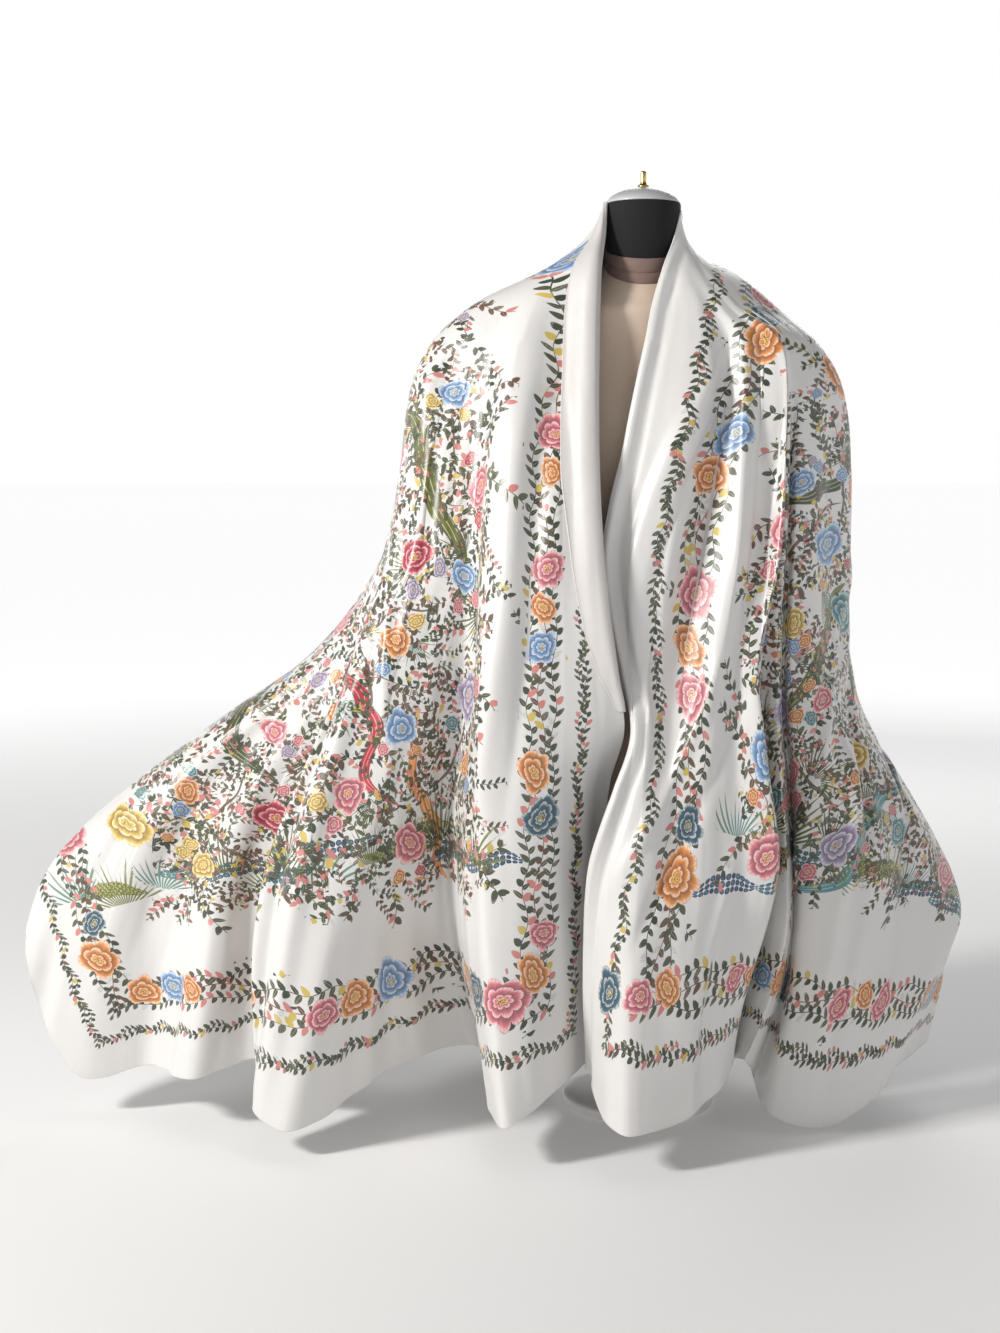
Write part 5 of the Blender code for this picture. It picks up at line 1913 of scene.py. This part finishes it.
@dataclass
class DressForm:
    """The limbless form that the shawl rests on, with its neck, cap and stand.

    torso has a row per section: height on the axis, lean, half width, and reach to the front
    and to the back, in cm. Lean is the rise of a section per cm towards the back.
    """

    torso: Rows = (
        (86.75, 0.50, 3.78, 3.78, 3.78), (86.1, 0.46, 4.6, 4.2, 4.5), (85.1, 0.37, 6.5, 4.6, 5.5),
        (83.6, 0.25, 9.8, 5.2, 6.4), (81.8, 0.17, 12.4, 5.2, 6.9), (79.8, 0.10, 14.6, 5.3, 7.4),
        (77.6, 0.04, 16.2, 5.7, 7.9), (75.2, 0.0, 17.0, 6.3, 8.3), (71.5, 0.0, 17.2, 7.4, 8.8),
        (67.0, 0.0, 16.4, 8.0, 9.2), (62.0, 0.0, 15.0, 7.9, 8.9), (56.0, 0.0, 13.2, 7.6, 8.4),
        (50.0, 0.0, 12.4, 7.6, 8.2), (45.0, 0.0, 13.4, 8.2, 8.8), (39.0, 0.0, 15.0, 8.8, 9.6),
        (34.0, 0.0, 15.4, 8.9, 9.8), (32.4, 0.0, 15.0, 8.6, 9.5), (31.8, 0.0, 14.2, 8.0, 8.9),
    )
    sides: int = 128
    steps: int = 5
    parts: tuple[tuple[Turning, PlainFinish], ...] = (
        (Turning("form_neck_band", "taupe_band", (
            (0.0, 86.78, 0.50), (3.74, 86.78, 0.50), (3.82, 86.88, 0.50), (3.86, 87.1, 0.49),
            (3.87, 87.3, 0.48), (3.84, 87.5, 0.46), (3.74, 87.62, 0.45), (3.69, 87.66, 0.45),
            (3.76, 87.72, 0.44), (3.79, 87.8, 0.44), (3.79, 88.45, 0.34), (3.77, 88.56, 0.33),
            (3.72, 88.6, 0.32), (0.0, 88.6, 0.32))),
         PlainFinish("taupe_band_cloth", (0.21, 0.135, 0.115), 0.72, bump=0.3, sheen=0.2)),
        (Turning("form_neck", "black_velvet", (
            (0.0, 88.63, 0.32), (3.76, 88.63, 0.32), (3.79, 88.7, 0.31), (3.79, 90.0, 0.22),
            (3.79, 91.5, 0.11), (3.79, 93.0), (3.77, 93.12), (3.71, 93.2), (0.0, 93.2))),
         PlainFinish("black_velvet_cloth", (0.004, 0.004, 0.005), 0.9, bump=0.3, sheen=0.04)),
        (Turning("form_cap", "grey_cap", (
            (0.0, 93.23), (3.68, 93.23), (3.72, 93.28), (3.71, 93.4), (3.62, 93.58), (3.42, 93.8),
            (3.1, 94.03), (2.7, 94.25), (2.2, 94.46), (1.6, 94.64), (1.0, 94.75), (0.5, 94.79),
            (0.0, 94.8))),
         PlainFinish("grey_cap_paint", (0.50, 0.51, 0.52), 0.42, coat=0.2, bump=0.03)),
        (Turning("form_finial", "brass", (
            (0.0, 94.83), (0.54, 94.83), (0.6, 94.88), (0.61, 94.95), (0.57, 95.04), (0.46, 95.1),
            (0.36, 95.16), (0.31, 95.3), (0.3, 95.5), (0.3, 96.3), (0.27, 96.4), (0.2, 96.45),
            (0.0, 96.46))),
         PlainFinish("brass_metal", (0.60, 0.43, 0.17), 0.26, metallic=1.0, bump=0.02)),
        (Turning("form_post", "painted_stand", (
            (0.0, 1.33), (1.5, 1.33), (1.5, 31.77), (0.0, 31.77))),
         PlainFinish("stand_paint", (0.80, 0.80, 0.79), 0.35, coat=0.3, bump=0.02)),
        (Turning("form_base", "painted_stand", (
            (0.0, 0.0), (7.85, 0.0), (7.97, 0.05), (8.0, 0.15), (8.0, 0.7), (7.95, 0.88),
            (7.8, 1.02), (7.5, 1.16), (7.1, 1.26), (6.6, 1.3), (0.0, 1.3))),
         PlainFinish("base_paint", (0.80, 0.80, 0.79), 0.35, coat=0.3, bump=0.02)),
    )
    jersey: PlainFinish = PlainFinish("beige_jersey_cloth", (0.66, 0.53, 0.42), 0.82, bump=0.35, sheen=0.25)

    def build(self) -> list[bpy.types.Object]:
        """Makes all the parts of the form."""
        made = [loft("form_torso", self.sections(), self.jersey.make())]
        for turning, finish in self.parts:
            made.append(turning.build(finish.make()))
        return made

    def sections(self) -> list[np.ndarray]:
        """The torso's sections from the neck down, in metres."""
        table = np.array(self.torso)
        lengths = np.stack([table[:, 2], table[:, 3], table[:, 0], table[:, 1], table[:, 4]], 1)[None]
        rows = refine(lengths, [self.steps] * (len(table) - 1), 1)[0]
        rings = [np.array([[0, 0, rows[0, 2]]]) * CM]
        for half, front, height, lean, back in rows:
            turn = 2 * np.pi * np.arange(self.sides) / self.sides
            y = np.sin(turn) * np.where(np.sin(turn) > 0, back, front)
            rings.append(np.stack([half * np.cos(turn), y, height + lean * y], 1) * CM)
        rings.append(np.array([[0, 0, rows[-1, 2]]]) * CM)
        return rings


@dataclass(frozen=True)
class Lamp:
    """A soft rectangular light aimed at the middle of the object."""

    name: str
    at: Place
    size: float
    watts: float
    colour: Colour = (1.0, 1.0, 1.0)

    def build(self, target: Place) -> bpy.types.Object:
        """Makes the light.

        Args:
            target: what it is aimed at.

        Returns:
            The light.
        """
        data = bpy.data.lights.new(self.name, "AREA")
        data.size, data.energy, data.color = self.size, self.watts, self.colour
        lamp = bpy.data.objects.new(self.name, data)
        bpy.context.scene.collection.objects.link(lamp)
        way = np.array(target) - np.array(self.at)
        side = float(np.hypot(way[0], way[1]))
        lamp.location = self.at
        lamp.rotation_euler = (math.atan2(side, -way[2]), 0.0, math.atan2(-way[0], way[1]))
        return lamp


@dataclass
class Studio:
    """A plain white room with soft lights, and the camera at the photograph's angle."""

    target: Place = (-0.1, 0.0, 0.60)
    camera_at: Place = (-0.145, -2.0, 0.672)
    camera_tilt: float = 84.0
    lens: float = 52.39
    floor_half: float = 60.0
    room: float = 0.08           # brightness of the room overhead
    backdrop: float = 1.0        # and of the white backdrop round the horizon
    dimming: tuple[float, float] = (0.235, 0.42)     # where the one turns into the other, as heights
    floor_glow: tuple[float, float] = (0.12, 0.80)   # near the object and far from it
    glow_reach: tuple[float, float] = (0.9, 4.0)     # how far from it the glow begins and is full
    lamps: tuple[Lamp, ...] = (
        Lamp("key", (-2.1, -1.15, 1.75), 0.40, 62.0, (1.0, 0.975, 0.94)),
        Lamp("side", (1.8, -0.9, 1.2), 0.8, 2.0, (0.93, 0.96, 1.0)),
        Lamp("back", (0.6, 2.0, 1.6), 1.2, 18.0),
    )

    def build(self) -> None:
        """Makes the floor, the lights and the camera."""
        scene = bpy.context.scene
        self.lay_floor()
        for lamp in self.lamps:
            lamp.build(self.target)
        scene.world = self.paint_room()
        data = bpy.data.cameras.new("camera")
        data.lens, data.sensor_width = self.lens, 36.0
        camera = bpy.data.objects.new("camera", data)
        camera.location = self.camera_at
        camera.rotation_euler = (math.radians(self.camera_tilt), 0.0, 0.0)
        scene.collection.objects.link(camera)
        scene.camera = camera
        scene.view_settings.view_transform = "Standard"

    def paint_room(self) -> bpy.types.World:
        """Makes the room, white round the horizon and dim above."""
        room = bpy.data.worlds.new("room")
        graph = Graph(room, "Background")
        _, _, up = graph.split(graph.node("ShaderNodeTexCoord", "Generated", {}))
        sky = graph.mix(up.step(*self.dimming), (self.backdrop,) * 3, (self.room,) * 3)
        graph.set(color=sky, strength=1.0)
        return room

    def lay_floor(self) -> None:
        """Lays a wide white floor that glows more and more far from the object."""
        half = self.floor_half
        mesh = bpy.data.meshes.new("floor")
        corners = [(-half, -half, 0), (half, -half, 0), (half, half, 0), (-half, half, 0)]
        mesh.from_pydata(corners, [], [(0, 1, 2, 3)])
        graph = finish_named("floor_white")
        x, y, _ = graph.split(graph.place())
        near, far = self.floor_glow
        glow = graph.mix((x * x + y * y).root().step(*self.glow_reach), (near,) * 3, (far,) * 3)
        graph.set(base_color=(0.84, 0.84, 0.84, 1), roughness=0.9, emission_color=glow, emission_strength=1.0)
        mesh.materials.append(graph.material)
        floor = bpy.data.objects.new("floor", mesh)
        floor.location.z = -MM
        bpy.context.scene.collection.objects.link(floor)


def main() -> None:
    """Builds the shawl, its form and the studio."""
    logging.basicConfig(level=logging.INFO, format="%(message)s")
    log = logging.getLogger("shawl")
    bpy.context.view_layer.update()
    for piece in DressForm().build() + Shawl().build():
        size = ", ".join(f"{side:.3f}" for side in piece.dimensions)
        log.info("%s: %d faces, %s m", piece.name, len(piece.data.polygons), size)
    Studio().build()
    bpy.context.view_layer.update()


if __name__ == "__main__":
    main()
